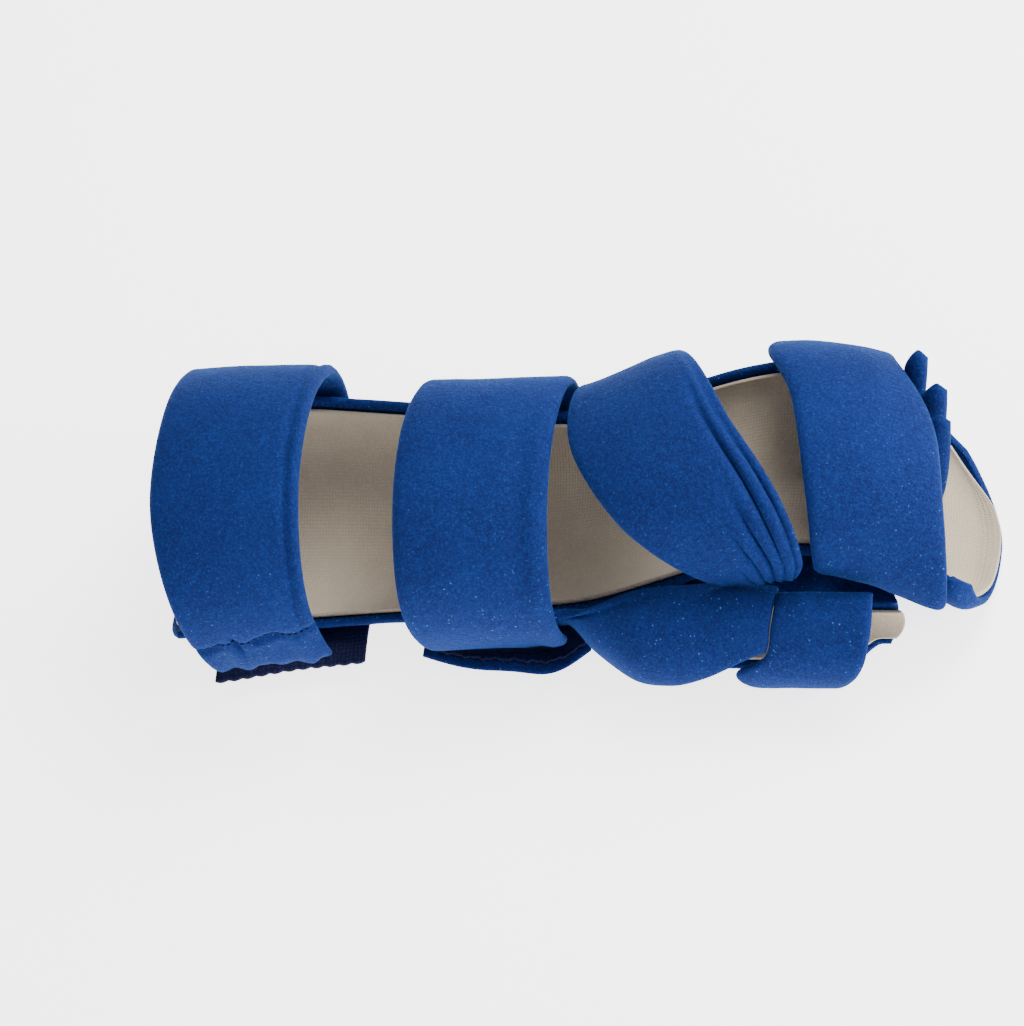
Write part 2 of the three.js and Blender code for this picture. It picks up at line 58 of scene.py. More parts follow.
SPLINT_LENGTH = 332.0
FOREARM_HALF_WIDTH = 47.0
TROUGH_DEPTH = 47.0
STRAP_CROWN = 46.0
PALM_RISE = 32.0
HAND_SHIFT = 18.0
BASE_FLAT = 1.2
TIP_SETBACK = 5.0
FAR_SETBACK = 15.0
ELBOW_REACH = 5.5
ELBOW_CORNER = 3.0
PIECE_GAP = 0.3
STRAP_SLACK = 9.0
NEAR_INSET_SHARE = 0.4
LINING_FOLD_OUT = 4.4
LINING_FOLD_UP = 1.0
STRAP_WIDTH = 61.0
FINGER_STRAP_WIDTH = 52.0

SECTION_KEYS = ("at", "side", "rise", "near", "far", "below", "above", "near_rim", "far_rim")
SECTIONS = (
    (0.0, 0.0, 0.0, 1.24, 1.15, 1.0, 1.0, -38, 5),
    (0.13, 0.0, 0.0, 1.13, 1.11, 1.0, 0.98, -39, 9),
    (0.27, 0.0, 0.0, 1.0, 1.03, 0.98, 0.93, -38, 12),
    (0.4, 0.06, 0.0, 0.94, 0.98, 0.92, 0.88, -36, 11),
    (0.51, 0.24, 0.08, 0.94, 1.0, 0.79, 0.87, -36, 6),
    (0.61, 0.55, 0.44, 0.96, 1.09, 0.66, 0.9, -34, 2),
    (0.71, 0.83, 0.86, 0.94, 1.05, 0.56, 0.76, -23, 4),
    (0.78, 0.95, 1.0, 0.93, 1.0, 0.51, 0.64, -8, 6),
    (0.86, 1.0, 0.72, 0.94, 0.97, 0.5, 0.68, -2, 2),
    (0.905, 0.95, 0.44, 0.96, 0.93, 0.5, 0.7, 8, -12),
    (0.94, 0.88, 0.2, 0.98, 0.8, 0.5, 0.72, 16, -16),
    (0.97, 0.78, 0.05, 0.98, 0.66, 0.5, 0.7, 22, -16),
    (1.0, 0.7, 0.0, 0.8, 0.48, 0.46, 0.66, 6, -12),
)


# Shape of the brace.
class Rows:
    """A table whose columns run on smooth curves between its rows."""

    def __init__(self, keys, rows):
        self.keys = keys[1:]
        table = np.array(rows, dtype=float)
        self.at = table[:, 0]
        self.values = {key: table[:, k + 1] for k, key in enumerate(self.keys)}

    def __call__(self, at):
        at = np.asarray(at, dtype=float)
        last = np.clip(np.searchsorted(self.at, at, side="left"), 1, len(self.at) - 1)
        before = np.maximum(last - 2, 0)
        after = np.minimum(last + 1, len(self.at) - 1)
        span = self.at[last] - self.at[last - 1]
        t = np.clip((at - self.at[last - 1]) / span, 0, 1)
        bend = t * t * (3 - 2 * t)
        ease = t * (1 - t)
        found = {}
        for key, v in self.values.items():
            start = (v[last] - v[before]) / (self.at[last] - self.at[before]) * span
            end = (v[after] - v[last - 1]) / (self.at[after] - self.at[last - 1]) * span
            low = v[last - 1]
            found[key] = low + (v[last] - low) * bend + ease * ((1 - t) * start - t * end)
        return found


section_at = Rows(SECTION_KEYS, SECTIONS)


def oval_at(x):
    row = section_at(np.asarray(x) / SPLINT_LENGTH)
    below = row["below"] * TROUGH_DEPTH
    return {
        "side": row["side"] * HAND_SHIFT,
        "height": row["rise"] * PALM_RISE + below - BASE_FLAT,
        "near": row["near"] * FOREARM_HALF_WIDTH,
        "far": row["far"] * FOREARM_HALF_WIDTH,
        "below": below,
        "above": row["above"] * STRAP_CROWN,
        "near_turn": -180 - row["near_rim"],
        "far_turn": row["far_rim"],
    }


def on_oval(x, turn):
    x, turn = np.broadcast_arrays(np.asarray(x, dtype=float), np.asarray(turn, dtype=float))
    o = oval_at(x)
    c, s = np.cos(np.radians(turn)), np.sin(np.radians(turn))
    y = o["side"] + np.where(c > 0, o["far"], o["near"]) * c
    z = o["height"] + np.where(s > 0, o["above"], o["below"]) * s
    return np.stack([x, y, z], axis=-1)


def unit(v):
    return v / np.maximum(np.linalg.norm(v, axis=-1, keepdims=True), 1e-9)


def off_oval(x, turn, off):
    """Points that stand off the oval's surface, square to it."""
    step = 0.5
    x, turn, off = np.broadcast_arrays(*(np.asarray(k, dtype=float) for k in (x, turn, off)))
    along = on_oval(np.minimum(x + step, SPLINT_LENGTH), turn) - on_oval(x - step, turn)
    around = on_oval(x, turn + step) - on_oval(x, turn - step)
    return on_oval(x, turn) + unit(np.cross(around, along)) * off[..., None]


def lerp(a, b, t):
    return a + (b - a) * t


def smooth(x, low, high):
    t = np.clip((np.asarray(x, dtype=float) - low) / (high - low), 0, 1)
    return t * t * (3 - 2 * t)


def bell(x, middle, width):
    return np.exp(-(((x - middle) / width) ** 2))


def ripple(places, size, seed, depth=2):
    """Smooth noise from -1 to 1 at each of an array of places in millimetres."""
    flat = places.reshape(-1, 3) / size + seed * 7.31
    out = np.fromiter((noise.fractal(Vector(p), 1.0, 2.0, depth) for p in flat), dtype=float, count=len(flat))
    return out.reshape(places.shape[:-1])


# Meshes.
def edge_steps(width, radius, middles, rounds=4):
    """Shares across a piece and how full it is there, so that its edges are rounded."""
    turns = [math.radians(90 * k / rounds) for k in range(rounds + 1)]
    ends = [(radius * (1 - math.cos(a)) / width, math.sin(a)) for a in turns]
    inner = [(lerp(ends[-1][0], 1 - ends[-1][0], k / middles), 1.0) for k in range(1, middles)]
    steps = ends + inner + [(1 - share, full) for share, full in reversed(ends)]
    return np.array([s[0] for s in steps]), np.array([s[1] for s in steps])


def grid_normals(grid):
    along = np.gradient(grid, axis=0)
    across = np.gradient(grid, axis=1)
    return unit(np.cross(along, across))


def padded_sheet(
    name, point, length, width, thickness, step=1.8, relief=None, floor=None, soft=1.0, under=None
):
    """A closed padded sheet round the middle surface point(u, v), both from 0 to 1.

    relief(u, v, places) lifts the outer face and under(u, v, places) the inner one, in millimetres.
    soft stretches the rounding of the edges.
    """
    radius = min(thickness / 2 * soft, width / 3)
    us, full_u = edge_steps(length, radius, max(int(length / step), 4))
    vs, full_v = edge_steps(width, radius, max(int(width / step), 4))
    u, v = np.meshgrid(us, vs, indexing="ij")
    grid = point(u, v)
    normal = grid_normals(grid)
    full = np.minimum(full_u[:, None], full_v[None, :])
    faces = []
    for sign, change in ((1, relief), (-1, under)):
        lift = full * thickness / 2
        if change is not None:
            lift = lift + full * sign * change(u, v, grid) * (1 if sign > 0 else -1)
        place = grid + normal * (sign * lift)[..., None]
        if floor is not None:
            place[..., 2] = np.maximum(place[..., 2], floor)
        faces.append(place)
    rows, columns = u.shape
    index = np.arange(rows * columns).reshape(rows, columns)
    inner = index.copy() + rows * columns
    for rim in ((0, slice(None)), (-1, slice(None)), (slice(None), 0), (slice(None), -1)):
        inner[rim] = index[rim]
    mesh = bmesh.new()
    places = np.concatenate([f.reshape(-1, 3) for f in faces])
    shares = np.concatenate([np.stack([u * length, v * width], axis=-1).reshape(-1, 2)] * 2) / 1000
    verts = [mesh.verts.new(p) for p in (places + PLAN_SHIFT) / 1000]
    map_layer = mesh.loops.layers.uv.new("cloth")
    for sheet, back in ((index, False), (inner, True)):
        for i in range(rows - 1):
            for j in range(columns - 1):
                corners = [sheet[i, j], sheet[i + 1, j], sheet[i + 1, j + 1], sheet[i, j + 1]]
                spots = [index[i, j], index[i + 1, j], index[i + 1, j + 1], index[i, j + 1]]
                if back:
                    corners.reverse()
                    spots.reverse()
                face = mesh.faces.new([verts[k] for k in corners])
                face.smooth = True
                for loop, spot in zip(face.loops, spots):
                    loop[map_layer].uv = shares[spot]
    loose = [k for k in mesh.verts if not k.link_faces]
    bmesh.ops.delete(mesh, geom=loose, context="VERTS")
    if mesh.calc_volume(signed=True) < 0:
        bmesh.ops.reverse_faces(mesh, faces=mesh.faces)
    data = bpy.data.meshes.new(name)
    mesh.to_mesh(data)
    mesh.free()
    piece = bpy.data.objects.new(name, data)
    bpy.context.scene.collection.objects.link(piece)
    return piece


def finish_piece(piece, slot, nodes):
    """Dress a piece in its slot's cloth, and hide the solids it replaces."""
    piece.data.materials.clear()
    piece.data.materials.append(cloth_of(slot))
    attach(piece, "root")
    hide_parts(*nodes)


# Materials.
class Socket:
    """A node's output, with sums that add the nodes they need."""

    def __init__(self, shader, output):
        self.shader = shader
        self.output = output

    def _math(self, operation, a, b):
        return self.shader.add("ShaderNodeMath", {"operation": operation}, {0: a, 1: b})

    def __add__(self, other):
        return self._math("ADD", self, other)

    def __sub__(self, other):
        return self._math("SUBTRACT", self, other)

    def __rsub__(self, other):
        return self._math("SUBTRACT", other, self)

    def __mul__(self, other):
        return self._math("MULTIPLY", self, other)


class Shader:
    """A material's node tree, built by adding nodes to it."""

    def __init__(self, name):
        self.material = bpy.data.materials.new(name)
        self.material.use_nodes = True
        self.tree = self.material.node_tree
        self.tree.nodes.clear()

    def add(self, kind, settings=None, inputs=None, out=0):
        node = self.tree.nodes.new(kind)
        for key, value in (settings or {}).items():
            setattr(node, key, value)
        for key, value in (inputs or {}).items():
            if isinstance(value, Socket):
                self.tree.links.new(value.output, node.inputs[key])
            else:
                node.inputs[key].default_value = value
        return Socket(self, node.outputs[out]) if node.outputs else node

    def noise(self, where, scale, detail=2.0, roughness=0.5):
        inputs = {"Vector": where, "Scale": scale, "Detail": detail, "Roughness": roughness}
        return self.add("ShaderNodeTexNoise", {}, inputs)

    def ramp(self, value, low, high):
        inputs = {"Value": value, "From Min": low, "From Max": high}
        return self.add("ShaderNodeMapRange", {"clamp": True}, inputs)

    def mix(self, factor, a, b):
        return self.add("ShaderNodeMix", {"data_type": "RGBA"}, {0: factor, 6: a, 7: b}, out=2)

    def bump(self, height, strength, distance, normal=None):
        inputs = {"Height": height, "Strength": strength, "Distance": distance}
        if normal is not None:
            inputs["Normal"] = normal
        return self.add("ShaderNodeBump", {}, inputs)

    def cloth(
        self, colour, roughness, normal, sheen=0.0, sheen_tint=(1, 1, 1), sheen_roughness=0.5, glow=0.0
    ):
        inputs = {
            "Emission Color": (1, 1, 1, 1),
            "Emission Strength": glow,
            "Base Color": colour,
            "Roughness": roughness,
            "Normal": normal,
            "Sheen Weight": sheen,
            "Sheen Tint": (*sheen_tint, 1),
            "Sheen Roughness": sheen_roughness,
            "Specular IOR Level": 0.12,
        }
        surface = self.add("ShaderNodeBsdfPrincipled", {}, inputs)
        self.add("ShaderNodeOutputMaterial", {}, {"Surface": surface})
        return self.material


def rgba(colour):
    return (*colour, 1.0)


def brushed_loop_cloth(name, colours):
    """Brushed loop cloth: a close felted nap of fine tufts, with painted glints: pale specks that stand for
    light caught by the nap, mostly on the lower parts.
    """
    s = Shader(name)
    where = s.add("ShaderNodeTexCoord", out="Object")
    broad = s.noise(where, 38.0, 3.0)
    mottle = s.noise(where, 420.0, 3.0, 0.6)
    tufts = s.noise(where, 1100.0, 3.0, 0.7)
    fibres = s.noise(where, 2600.0, 2.0, 0.7)
    loops = s.add("ShaderNodeTexVoronoi", {}, {"Vector": where, "Scale": 750.0, "Randomness": 1.0})
    base = s.mix(s.ramp(broad * 0.4 + mottle * 0.6, 0.32, 0.7), rgba(colours.shade), rgba(colours.middle))
    base = s.mix(s.ramp(tufts, 0.46, 0.7) * 0.6, base, rgba(colours.bright))
    base = s.mix(s.ramp(loops, 0.5, 0.95) * 0.3, base, rgba(colours.shade))
    # Painted glints: pale specks that stand in for light caught by the loops of the nap, kept mostly to the
    # lower parts, where the light from the front falls.
    glint_cells = s.add("ShaderNodeTexVoronoi", {}, {"Vector": where, "Scale": 560.0, "Randomness": 1.0})
    height = s.add("ShaderNodeSeparateXYZ", {}, {"Vector": where}, out="Z")
    low = 1 - s.ramp(height, 0.045, 0.09)
    glint_share = s.ramp(tufts * 0.5 + mottle * 0.5, 0.535, 0.575) * (low * 0.85 + 0.15)
    base = s.mix((1 - s.ramp(glint_cells, 0.08, 0.22)) * glint_share * 0.65, base, rgba(colours.painted_glint))
    rise = tufts * 0.6 + fibres * 0.4 - loops * 0.3
    normal = s.bump(rise, 0.5, 0.0008, s.bump(mottle, 0.3, 0.001))
    return s.cloth(base, 0.95, normal, 0.24, colours.nap, 0.3)


def knitted_lining(name, colours):
    """A fine warp knit: close ribs crossed by rows, a little soiled and uneven."""
    s = Shader(name)
    where = s.add("ShaderNodeUVMap", {"uv_map": "cloth"})
    solid = s.add("ShaderNodeTexCoord", out="Object")
    ribs = s.add(
        "ShaderNodeTexWave", {"bands_direction": "X"},
        {"Vector": where, "Scale": 260.0, "Distortion": 1.4, "Detail": 1.0, "Detail Scale": 1.5},
    )
    rows = s.add(
        "ShaderNodeTexWave", {"bands_direction": "Y"},
        {"Vector": where, "Scale": 190.0, "Distortion": 1.8, "Detail": 1.0, "Detail Scale": 1.5},
    )
    uneven = s.noise(solid, 60.0, 4.0)
    thread = s.noise(solid, 1500.0, 3.0)
    weave = ribs * 0.55 + rows * 0.45
    base = s.mix(s.ramp(uneven, 0.3, 0.7), rgba(colours.lining_shade), rgba(colours.lining))
    base = s.mix(s.ramp(weave, 0.15, 0.6) * 0.35, rgba(colours.lining_shade), base)
    base = s.mix(s.ramp(thread, 0.5, 0.75) * 0.3, base, rgba(colours.lining_light))
    normal = s.bump(weave * 0.8 + thread * 0.4, 0.4, 0.0005)
    return s.cloth(base, 0.95, normal, 0.2, (1.0, 0.96, 0.9), 0.5)


def hook_tape(name, colours):
    """Hook tape: rows of tiny stiff hooks over a dark woven ground."""
    s = Shader(name)
    where = s.add("ShaderNodeUVMap", {"uv_map": "cloth"})
    solid = s.add("ShaderNodeTexCoord", out="Object")
    hooks = s.add("ShaderNodeTexVoronoi", {}, {"Vector": where, "Scale": 620.0, "Randomness": 0.35})
    lint = s.noise(solid, 900.0, 3.0, 0.7)
    uneven = s.noise(solid, 90.0, 2.0)
    base = s.mix(s.ramp(hooks, 0.1, 0.6), rgba(colours.hook_light), rgba(colours.hook))
    base = s.mix(s.ramp(uneven, 0.4, 0.7) * 0.4, base, rgba(colours.hook))
    base = s.mix(s.ramp(lint, 0.62, 0.75) * 0.5, base, rgba(colours.bright))
    normal = s.bump((1 - hooks) * 0.8 + lint * 0.3, 0.6, 0.0008)
    return s.cloth(base, 0.6, normal)


def sewing_thread(name, colour):
    s = Shader(name)
    where = s.add("ShaderNodeTexCoord", out="Object")
    twist = s.noise(where, 2500.0, 2.0)
    dark = tuple(0.6 * c for c in colour)
    base = s.mix(s.ramp(twist, 0.35, 0.65), rgba(dark), rgba(colour))
    return s.cloth(base, 0.7, s.bump(twist, 0.3, 0.0003))


def studio_floor(name, colour):
    s = Shader(name)
    where = s.add("ShaderNodeTexCoord", out="Object")
    grain = s.noise(where, 40.0, 2.0)
    darker = tuple(0.985 * c for c in colour)
    base = s.mix(s.ramp(grain, 0.3, 0.7), rgba(darker), rgba(colour))
    return s.cloth(base, 0.9, s.bump(grain, 0.02, 0.001), glow=3.0)


# Settings.
def colour_property(name, description, default):
    return bpy.props.FloatVectorProperty(
        name=name, description=description, subtype="COLOR", size=3, min=0, max=1, default=default
    )


def length_property(name, description, default):
    return bpy.props.FloatProperty(
        name=name, description=description, default=default / 1000, min=0.0001,
        subtype="DISTANCE", unit="LENGTH",
    )


class BraceColours(bpy.types.PropertyGroup):
    """Colours of the cloths"""

    shade: colour_property("Shade", "Blue cloth between its tufts", (0.0055, 0.0105, 0.072))
    middle: colour_property("Middle", "Blue cloth over most of its face", (0.0066, 0.0225, 0.138))
    bright: colour_property("Bright", "Blue cloth on the tips of its tufts", (0.008, 0.05, 0.255))
    # Painted glint: the pale colour painted in specks where the nap would catch the light.
    painted_glint: colour_property("Speck", "Loops that stand up and catch the light", (0.13, 0.3, 0.72))
    nap: colour_property("Nap", "Tint of the soft sheen of the nap", (0.03, 0.32, 1.0))
    lining: colour_property("Lining", "Tan lining", (0.6, 0.52, 0.4))
    lining_shade: colour_property("Lining shade", "Tan lining between its ribs", (0.4, 0.33, 0.24))
    lining_light: colour_property("Lining light", "Tan lining on its raised threads", (0.74, 0.68, 0.57))
    hook: colour_property("Hook tape", "Ground of the hook tape", (0.004, 0.005, 0.026))
    hook_light: colour_property("Hooks", "Tips of the hooks", (0.01, 0.014, 0.07))
    thread: colour_property("Thread", "Sewing thread", (0.008, 0.012, 0.075))
    floor: colour_property("Floor", "Studio floor", (0.93, 0.93, 0.93))


class BraceSizes(bpy.types.PropertyGroup):
    """Sizes of the cloths and straps"""

    cover: length_property("Cover", "Thickness of the blue cover", 3.4)
    lining: length_property("Lining", "Thickness of the tan lining", 1.8)
    lining_inset: length_property("Lining inset", "How far the lining stops short of the rim", 4.5)
    lining_ease: length_property("Lining ease", "Room between the cover and the lining", 0.7)
    strap: length_property("Strap", "Thickness of the forearm and finger straps", 5.0)
    strap_width: length_property("Strap width", "Width of the forearm straps", STRAP_WIDTH)
    hand_strap: length_property("Hand strap", "Thickness of the hand strap", 4.6)
    finger_strap_width: length_property("Finger strap width", "Width of the finger strap", FINGER_STRAP_WIDTH)
    thumb_strap: length_property("Thumb strap", "Thickness of the thumb strap", 4.2)
    thumb_strap_width: length_property("Thumb strap width", "Width of the thumb strap", 38.0)
    thenar_strap: length_property("Thumb base strap", "Thickness of the strap over the thumb's base", 4.0)
    thumb_radius: length_property("Thumb radius", "Outer radius of the thumb cradle", 16.0)
    thumb_wall: length_property("Thumb wall", "Thickness of the thumb cradle", 2.6)
    tab: length_property("Tab", "Thickness of the hook tabs", 2.0)
    separator: length_property("Separator", "Thickness of the finger separators", 5.0)
    stitch: length_property("Stitch", "Length of one stitch", 2.6)


def sizes():
    """The sizes in millimetres, by name."""
    group = bpy.context.scene.brace_sizes
    return {key: getattr(group, key) * 1000 for key in BraceSizes.__annotations__}


def colours():
    return bpy.context.scene.brace_colours


# The material of each slot, and what makes it.
CLOTHS = {
    "blue_cloth": ("blue_brushed_cloth", brushed_loop_cloth),
    "tan_lining": ("tan_knitted_lining", knitted_lining),
    "navy_hook": ("navy_hook_tape", hook_tape),
}


def cloth_of(slot):
    name, make = CLOTHS[slot]
    return bpy.data.materials.get(name) or make(name, colours())


# Stitches.
def stitch_tree():
    """Geometry nodes that lay short stitches along a line."""
    tree = bpy.data.node_groups.new("stitch_line", "GeometryNodeTree")
    face = tree.interface
    face.new_socket("Geometry", in_out="INPUT", socket_type="NodeSocketGeometry")
    for key, value in (("Stitch length", 0.0026), ("Thread radius", 0.0003), ("Share sewn", 0.7)):
        face.new_socket(key, in_out="INPUT", socket_type="NodeSocketFloat").default_value = value
    face.new_socket("Thread", in_out="INPUT", socket_type="NodeSocketMaterial")
    face.new_socket("Geometry", in_out="OUTPUT", socket_type="NodeSocketGeometry")

    def join(source, out, target, into):
        tree.links.new(source.outputs[out], target.inputs[into])

    def add(kind, **settings):
        node = tree.nodes.new(kind)
        for key, value in settings.items():
            setattr(node, key, value)
        return node

    given = add("NodeGroupInput")
    result = add("NodeGroupOutput")
    line = add("GeometryNodeMeshToCurve")
    spaced = add("GeometryNodeCurveToPoints", mode="LENGTH")
    join(given, "Geometry", line, "Mesh")
    join(line, "Curve", spaced, "Curve")
    join(given, "Stitch length", spaced, "Length")
    bead = add("GeometryNodeMeshUVSphere")
    bead.inputs["Segments"].default_value = 6
    bead.inputs["Rings"].default_value = 5
    join(given, "Thread radius", bead, "Radius")
    half = add("ShaderNodeMath", operation="MULTIPLY")
    half.inputs[1].default_value = 0.5
    join(given, "Stitch length", half, 0)
    sewn = add("ShaderNodeMath", operation="MULTIPLY")
    join(half, 0, sewn, 0)
    join(given, "Share sewn", sewn, 1)
    share = add("ShaderNodeMath", operation="DIVIDE")
    join(sewn, 0, share, 0)
    join(given, "Thread radius", share, 1)
    stretch = add("ShaderNodeCombineXYZ")
    stretch.inputs[0].default_value = 1.0
    stretch.inputs[1].default_value = 1.0
    join(share, 0, stretch, 2)
    place = add("GeometryNodeInstanceOnPoints")
    join(spaced, "Points", place, "Points")
    join(bead, "Mesh", place, "Instance")
    join(spaced, "Rotation", place, "Rotation")
    join(stretch, 0, place, "Scale")
    real = add("GeometryNodeRealizeInstances")
    dyed = add("GeometryNodeSetMaterial")
    join(place, "Instances", real, "Geometry")
    join(real, "Geometry", dyed, "Geometry")
    join(given, "Thread", dyed, "Material")
    join(dyed, "Geometry", result, "Geometry")
    return tree


def sew(name, lines, thread, length, radius=0.00028):
    """Stitches along lines of places in millimetres of the plan."""
    data = bpy.data.meshes.new(name + "_line")
    places, edges = [], []
    for line in lines:
        start = len(places)
        places += [tuple(p) for p in (np.asarray(line) + PLAN_SHIFT) / 1000]
        edges += [(k, k + 1) for k in range(start, len(places) - 1)]
    data.from_pydata(places, edges, [])
    guide = bpy.data.objects.new(name + "_guide", data)
    bpy.context.scene.collection.objects.link(guide)
    tree = bpy.data.node_groups.get("stitch_line") or stitch_tree()
    modifier = guide.modifiers.new("stitches", "NODES")
    modifier.node_group = tree
    for item in tree.interface.items_tree:
        if item.in_out != "INPUT":
            continue
        if item.name == "Stitch length":
            modifier[item.identifier] = length / 1000
        elif item.name == "Thread radius":
            modifier[item.identifier] = radius
        elif item.name == "Thread":
            modifier[item.identifier] = thread
    made = bpy.data.meshes.new_from_object(guide.evaluated_get(bpy.context.evaluated_depsgraph_get()))
    made.name = name
    piece = bpy.data.objects.new(name, made)
    for polygon in made.polygons:
        polygon.use_smooth = True
    bpy.context.scene.collection.objects.link(piece)
    bpy.data.objects.remove(guide)
    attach(piece, "root")


def thread():
    return bpy.data.materials.get("sewing_thread") or sewing_thread("sewing_thread", tuple(colours().thread))


# Trough.
def setback(u, v):
    """How far the ends lie back towards the rims. The finger end does so most on its far side."""
    finger_end = lerp(TIP_SETBACK, FAR_SETBACK, v ** 3) * u ** 20 * (2 * v - 1) ** 2
    elbow_end = (ELBOW_REACH * (1 - (2 * v - 1) ** 4) - ELBOW_CORNER * (2 * v - 1) ** 12) * (1 - u) ** 30
    return finger_end + elbow_end


def oval_sheet(low, high, off, turn_inset=0.0):
    """A middle surface that follows the splint between two distances along it."""

    def point(u, v):
        x = lerp(low, high, u) - setback(u, v)
        o = oval_at(x)
        turn = lerp(o["near_turn"] + turn_inset * NEAR_INSET_SHARE, o["far_turn"] - turn_inset, v)
        return off_oval(x, turn, off)

    return point


class BRACE_OT_trough(bpy.types.Operator):
    """Build the blue cover of the trough and its tan lining"""

    bl_idname = "brace.trough"
    bl_label = "Trough"

    def execute(self, context):
        s = sizes()
        around = FOREARM_HALF_WIDTH * math.pi * 5 / 6

        def swell(u, v, places):
            return 0.35 * ripple(places, 26, 3) + 0.12 * ripple(places, 7, 4)

        cover = padded_sheet(
            "cover", oval_sheet(0, SPLINT_LENGTH, -s["cover"] / 2), SPLINT_LENGTH, around, s["cover"],
            step=2.0, under=swell, floor=0, soft=1.3,
        )
        finish_piece(cover, "blue_cloth", ["splint_cover"])
        inset = math.degrees(s["lining_inset"] / FOREARM_HALF_WIDTH)
        off = -s["cover"] - PIECE_GAP - s["lining_ease"] - s["lining"] / 2

        def wrinkle(u, v, places):
            return 0.3 * ripple(places, 18, 9)

        elbow_inset = s["lining_inset"] * NEAR_INSET_SHARE
        flat = oval_sheet(elbow_inset, SPLINT_LENGTH - s["lining_inset"], off, inset)

        def turned_over(u, v):
            place = flat(u, v)
            over = smooth(u, 0.985, 1.0) * smooth(v, 0.07, 0.36) * (1 - smooth(v, 0.75, 0.98))
            place[..., 0] += LINING_FOLD_OUT * over
            place[..., 2] += LINING_FOLD_UP * over
            return place

        lining = padded_sheet(
            "lining", turned_over, SPLINT_LENGTH, around, s["lining"], step=2.0, relief=wrinkle,
        )
        finish_piece(lining, "tan_lining", ["splint_lining"])
        return {"FINISHED"}


# Straps over the top.
# How far each strap's top lies past its table, in millimetres, at its elbow side and at its finger side.
UPPER_CROWN = (-5.0, 0.4)
LOWER_CROWN = (-4.5, 0.0)
HAND_CROWN = (-4.5, -1.8)
FINGER_CROWN = (-3.0, 1.2)
# How far the straps go round, as a share of half a turn, and the radius of their rounded corners.
FOREARM_STRAP_TURN = 1.5
HAND_STRAP_TURN = 1.35
STRAP_CORNER = 9.0
STRAP_KEYS = ("at", "turn", "off", "start", "end")


def straight_rows(start, width, table):
    """Rows of a strap that goes straight over: at, turn, off, slip, wide."""
    return [
        (at, turn, off, start + slip * width, start + (slip + wide) * width)
        for at, turn, off, slip, wide in table
    ]


UPPER_START = 0.009 * SPLINT_LENGTH
UPPER_ROWS = straight_rows(UPPER_START, STRAP_WIDTH, (
    (0.0, -58, 0.05, 0.03, 1.0),
    (0.18, -15, 0.08, 0.02, 1.0),
    (0.34, 30, 0.42, 0.01, 1.0),
    (0.5, 75, 0.2, 0.0, 1.0),
    (0.66, 120, 0.1, 0.01, 0.99),
    (0.85, 175, 0.4, 0.17, 0.86),
    (1.0, 215, 0.66, 0.27, 0.81),
))
UPPER_SLANT = 11.0
LOWER_START = 0.3042 * SPLINT_LENGTH
LOWER_ROWS = straight_rows(LOWER_START, STRAP_WIDTH, (
    (0.0, -56, 0.05, 0.03, 1.0),
    (0.18, -15, 0.12, 0.03, 1.0),
    (0.34, 30, 0.6, 0.02, 1.0),
    (0.5, 75, 0.25, 0.0, 1.0),
    (0.66, 120, 0.15, 0.0, 1.0),
    (0.85, 175, 0.72, 0.02, 0.98),
    (1.0, 212, 0.76, 0.1, 0.92),
))
FINGER_START = 0.722 * SPLINT_LENGTH
FINGER_SLANT = 26.0
FINGER_ROWS = straight_rows(FINGER_START, FINGER_STRAP_WIDTH, (
    (0.0, -40, 0.05, 0.12, 0.86),
    (0.2, 5, 0.1, 0.07, 0.9),
    (0.36, 35, 0.1, 0.06, 0.94),
    (0.55, 80, 0.1, 0.33, 1.0),
    (0.75, 135, 0.1, 0.47, 1.0),
    (0.88, 180, 0.15, 0.5, 1.0),
    (1.0, 208, 0.12, 0.48, 1.0),
))
HAND_ROWS = tuple(
    (at, turn, off, start * SPLINT_LENGTH, end * SPLINT_LENGTH)
    for at, turn, off, start, end in (
        (0.0, -30, 0.05, 0.5, 0.59),
        (0.22, 12, 0.3, 0.497, 0.615),
        (0.4, 45, 0.5, 0.495, 0.645),
        (0.6, 90, 0.25, 0.51, 0.7),
        (0.8, 137, 0.2, 0.575, 0.765),
        (0.93, 175, 0.25, 0.655, 0.79),
        (1.0, 196, 0.3, 0.69, 0.775),
    )
)


def strap_surface(rows, thickness, extra=None, edge=None, slant=0.0, droop=2.2):
    """The middle surface of a strap over the top.

    edge moves its ends round the oval by degrees, slant is how many degrees its thumb-side end falls
    short by on the finger side, and droop is how far its edges sink where nothing is under them.
    """
    table = Rows(STRAP_KEYS, rows)

    def point(u, v):
        row = table(u)
        x = lerp(row["start"], row["end"], v)
        turn = row["turn"] - slant * v * np.clip(u, 0, 1) ** 4
        free = smooth(turn, 12, 55) * (1 - smooth(turn, 135, 175))
        off = PIECE_GAP + thickness / 2 + row["off"] * STRAP_SLACK - droop * free * np.abs(2 * v - 1) ** 3.5
        if extra is not None:
            off = off + extra(u, v)
        if edge is not None:
            turn = turn + edge(u, v)
        return off_oval(x, turn, off)

    return point


# The upper strap's seam and its nick, as shares of the length and the width, and the seam's thread in metres.
HEM = 0.905
NICK = 0.34
HEM_THREAD_RADIUS = 0.00045


def crown(elbow_side, finger_side):
    """A strap's crown, over its top only."""

    def change(u, v):
        return lerp(elbow_side, finger_side, v) * smooth(u, 0.16, 0.4) * (1 - smooth(u, 0.56, 0.82))

    return change


def corner_cut(u, v, length, width, radius):
    """How far back a strap's rounded corners lie at its thumb-side end, as a share of its length."""
    from_side = np.minimum(v, 1 - v) * width
    short = np.clip(radius - from_side, 0, radius)
    back = radius - np.sqrt(np.maximum(radius * radius - short * short, 0))
    return back / length * smooth(u, 0.55, 1.0)


def strap_relief(seed, groove=None):
    """Soft unevenness over a strap, with a sewn line sunk into it where groove gives one."""

    def relief(u, v, places):
        lift = 0.3 * ripple(places, 24, seed) + 0.08 * ripple(places, 6, seed + 1)
        if groove is not None:
            lift = lift + groove(u, v)
        return lift

    return relief


